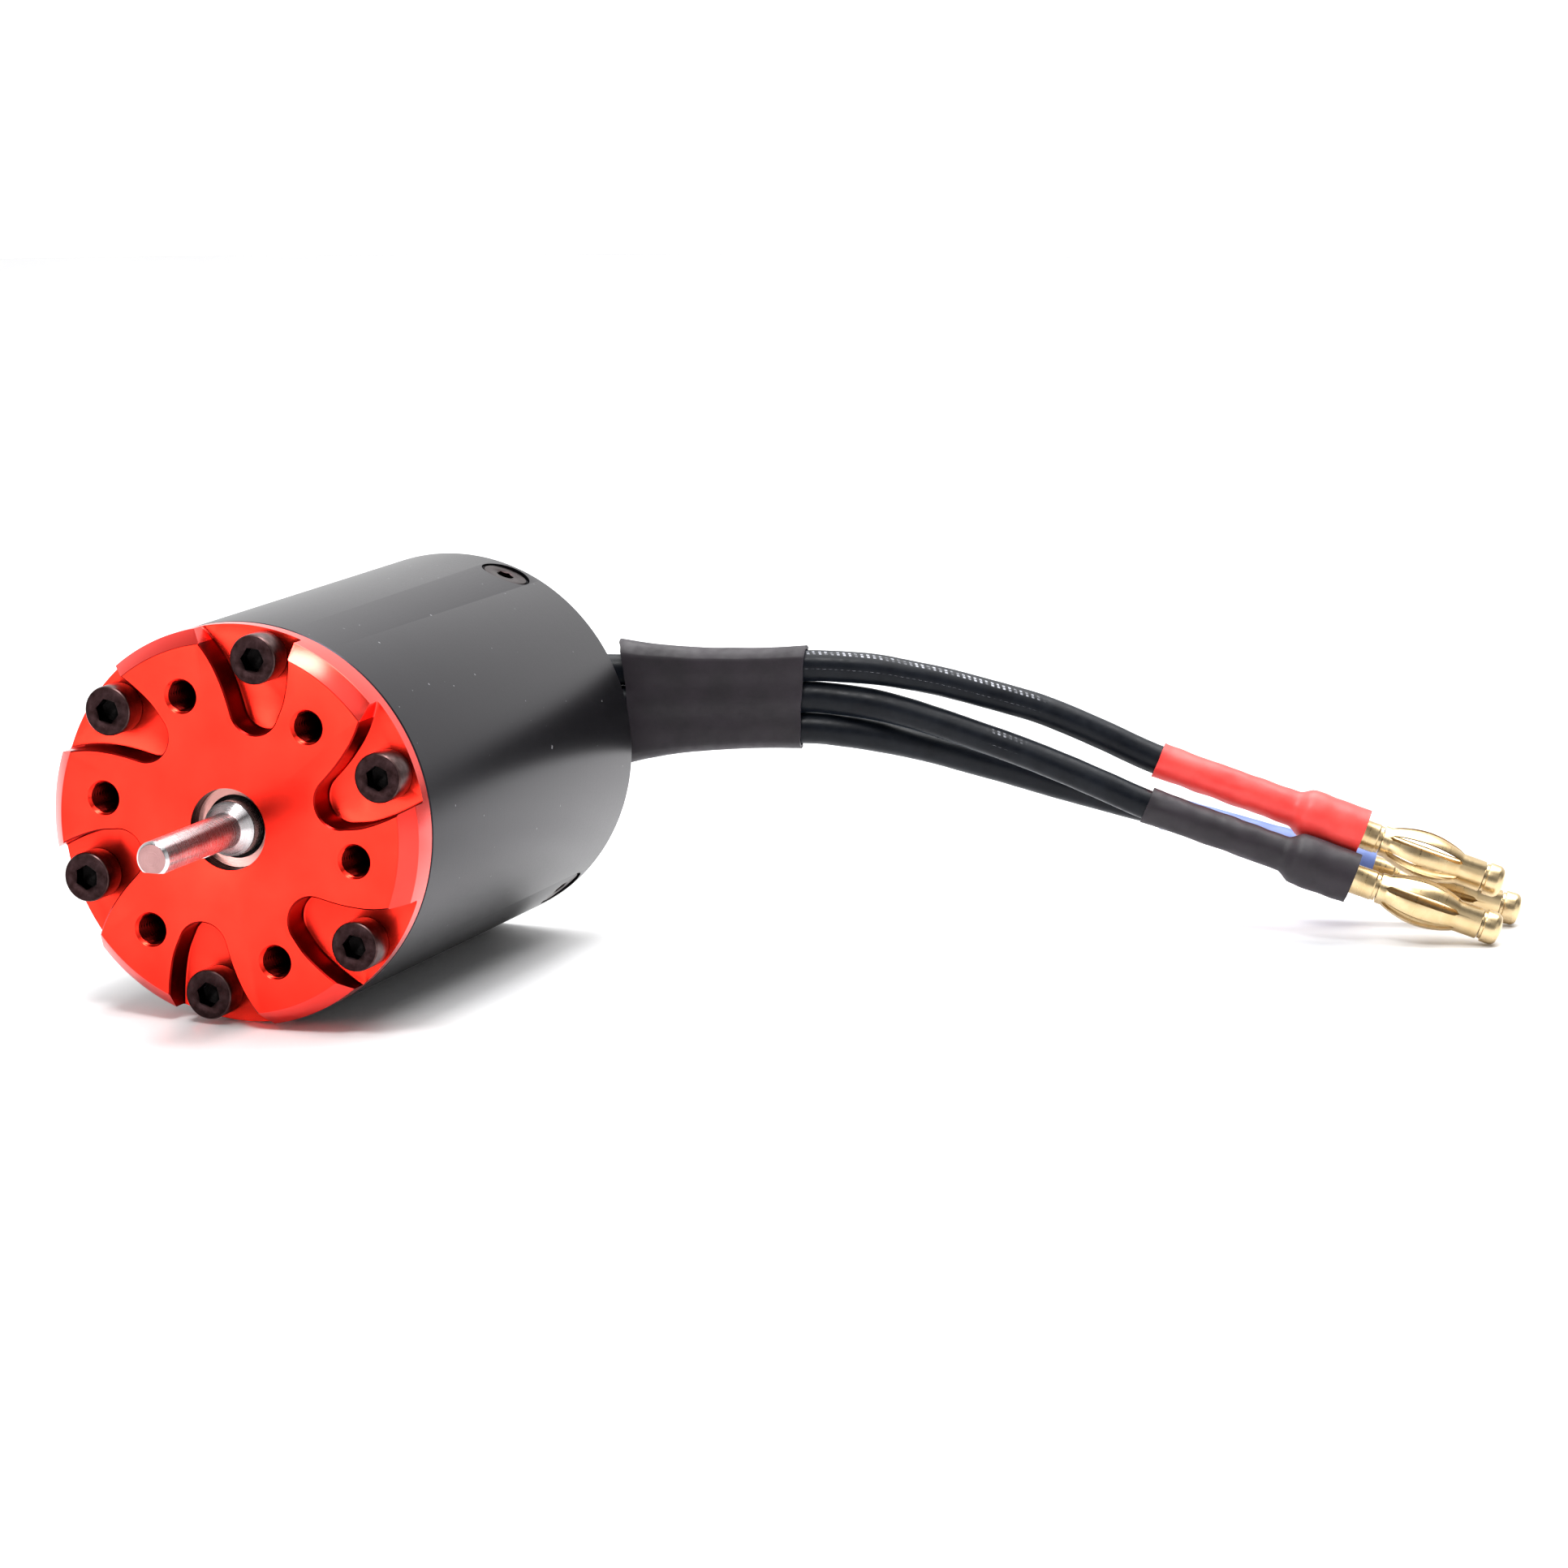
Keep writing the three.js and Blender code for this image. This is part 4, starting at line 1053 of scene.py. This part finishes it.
def shaft():
    """The 5 mm shaft, its cone and its 3.175 mm output end, with a flat for a grub screw."""
    r, output_r, cone_y, chamfer = 2.5, 1.5875, 0.25, 0.27
    flat, flat_length, clear, depth = 1.2, 9, 1, 2  # the flat's distance from the axis, and the cut's size
    body = lathe(soften([
        (0, -SHAFT_REACH), (output_r - chamfer, -SHAFT_REACH, 0.04), (output_r, chamfer - SHAFT_REACH, 0.05),
        (output_r, cone_y - (r - output_r), 0.08), (r, cone_y, 0.06), (r, SHAFT_END_Y - 0.3, 0.05),
        (r - 0.3, SHAFT_END_Y, 0.05), (0, SHAFT_END_Y),
    ]), 120)
    grind = bmesh.new()
    bmesh.ops.create_cube(grind, size=1)
    middle = (0, (flat_length - clear) / 2 - SHAFT_REACH, -flat - depth / 2)
    moved(grind, Matrix.Translation(middle) @ Matrix.Diagonal((6, flat_length + clear, depth, 1)))

    def paint(centre, normal):
        """The tip's end face is turned and has a darker pink colour, a painted reflection of the red face,
        and the rest is polished.
        """
        return 1 if centre.y < 0.3 - SHAFT_REACH and abs(normal.y) > 0.9 else 0

    finishes_and_painted_light = ["polished_steel", "steel_tip_painted_reflection"]
    mesh = mesh_from(carve(body, grind), "shaft", finishes_and_painted_light, sharp=25, paint=paint)
    return piece("rotor_shaft", mesh, "rotor", MOTOR, ["shaft"])


shaft()

# ------------------------ finishes of the CAD nodes that stay

INNER = {
    "bearing_steel": ["bearing_outer_ring", "bearing_balls", "preload_wave_washer", "rotor_core"],
    # The inner ring, seen through the gap round the shaft, is painted near-black as shade.
    "painted_shade_steel": ["bearing_inner_ring"],
    "black_rubber": ["bearing_seal"],
    "lamination_steel": ["stator_core"],
    "white_insulator": ["stator_insulator", "lead_splice"],
    "enamelled_copper": ["coil_"],
    "nickel_magnet": ["magnet_1", "magnet_2", "magnet_3", "magnet_4"],
    "polished_steel": ["magnet_sleeve", "spacer_"],
    "brass": ["balance_ring"],
}


def inner_finish(node):
    """The material of a CAD node that stays in view, or None for one that a piece replaces."""
    for material, names in INNER.items():
        if any(name in node for name in names):
            return material
    return None


AXIS_COPIES = {}


def about_the_axis(name):
    """A copy whose tool lines run round the motor's axis, for CAD nodes, which have no origin there."""
    if name not in AXIS_COPIES:
        copy = MATERIALS[name].copy()
        copy.name = f"{name}_inner"
        tree = copy.node_tree
        source = next(n for n in tree.nodes if n.bl_idname == "ShaderNodeTexCoord")
        shift = tree.nodes.new("ShaderNodeVectorMath")
        shift.operation = "SUBTRACT"
        shift.inputs[1].default_value = (0, FRONT_Y, AXIS_Z)
        for link in list(source.outputs["Object"].links):
            tree.links.new(shift.outputs[0], link.to_socket)
        tree.links.new(source.outputs["Object"], shift.inputs[0])
        AXIS_COPIES[name] = copy
    return AXIS_COPIES[name]


for node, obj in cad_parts.items():
    finish = inner_finish(node)
    if finish:
        obj.data.materials.clear()
        obj.data.materials.append(about_the_axis(finish))

# ------------------------ floor and light


def floor():
    """A pale disc, a hair below the table's height so that nothing shares its surface."""
    radius, gap = 0.75, 0.00002
    bm = bmesh.new()
    bmesh.ops.create_circle(bm, cap_ends=True, radius=radius, segments=128)
    mesh = bpy.data.meshes.new("floor")
    bm.to_mesh(mesh)
    bm.free()
    g = Graph("floor_acrylic", IOR=1.5)
    color = g.blend(g.remap(g.grain(30, 3), 0, 1), (0.80, 0.80, 0.81), (0.83, 0.83, 0.83))
    g.finish(color, g.remap(g.grain(0.8), 0.38, 0.44), g.bump(g.grain(0.4), 1))
    mesh.materials.append(g.material)
    obj = new_object("floor", mesh)
    obj.location.z = -gap


def area_light(name, place, aim, size, power):
    light = bpy.data.lights.new(name, "AREA")
    light.shape, light.size, light.size_y = "RECTANGLE", *size
    light.energy = power
    obj = new_object(name, light)
    obj.location = place
    obj.rotation_mode = "QUATERNION"
    obj.rotation_quaternion = (Vector(aim) - Vector(place)).to_track_quat("-Z", "Y")


def studio_world():
    """White to look at. As a light it is bright behind to the left and at the right, and dim elsewhere."""
    world = bpy.data.worlds.new("studio")
    bpy.context.scene.world = world
    world.use_nodes = True
    nodes, links = world.node_tree.nodes, world.node_tree.links
    background = nodes["Background"]
    coordinate = nodes.new("ShaderNodeTexCoord")

    def glow(direction, edge, core, low, high):
        """From low to high as the cosine of the angle to a direction goes from edge to core."""
        facing = nodes.new("ShaderNodeVectorMath")
        facing.operation = "DOT_PRODUCT"
        facing.inputs[1].default_value = Vector(direction).normalized()
        links.new(coordinate.outputs["Generated"], facing.inputs[0])
        spread = nodes.new("ShaderNodeMapRange")
        for socket, value in (("From Min", edge), ("From Max", core), ("To Min", low), ("To Max", high)):
            spread.inputs[socket].default_value = value
        links.new(facing.outputs["Value"], spread.inputs["Value"])
        return spread.outputs["Result"]

    def larger(first, second):
        node = nodes.new("ShaderNodeMath")
        node.operation = "MAXIMUM"
        links.new(first, node.inputs[0])
        links.new(second, node.inputs[1])
        return node.outputs[0]

    behind = glow((-0.45, 0.85, 0.25), 0.0, 0.7, 0.10, 1.3)
    at_right = glow((0.92, -0.36, 0.10), 0.80, 0.97, 0.0, 0.95)
    seen = nodes.new("ShaderNodeLightPath").outputs["Is Camera Ray"]
    background.inputs["Color"].default_value = (1, 1, 1, 1)
    links.new(larger(larger(behind, at_right), seen), background.inputs["Strength"])


floor()
studio_world()
FRONT = (0, FRONT_Y, AXIS_Z)
area_light("soft_left", (-0.22, -0.55, 0.10), FRONT, (0.22, 0.18), 0.8)
area_light("top", (0.07, 0.20, 0.62), (0.03, 0.03, 0), (0.60, 0.60), 7.8)
area_light("bevel", (0.04, -0.18, 0.44), FRONT, (0.14, 0.10), 1.4)
area_light("bevel_right", (0.20, -0.24, 0.39), FRONT, (0.18, 0.16), 0.16)
bpy.context.scene.view_settings.view_transform = "Standard"
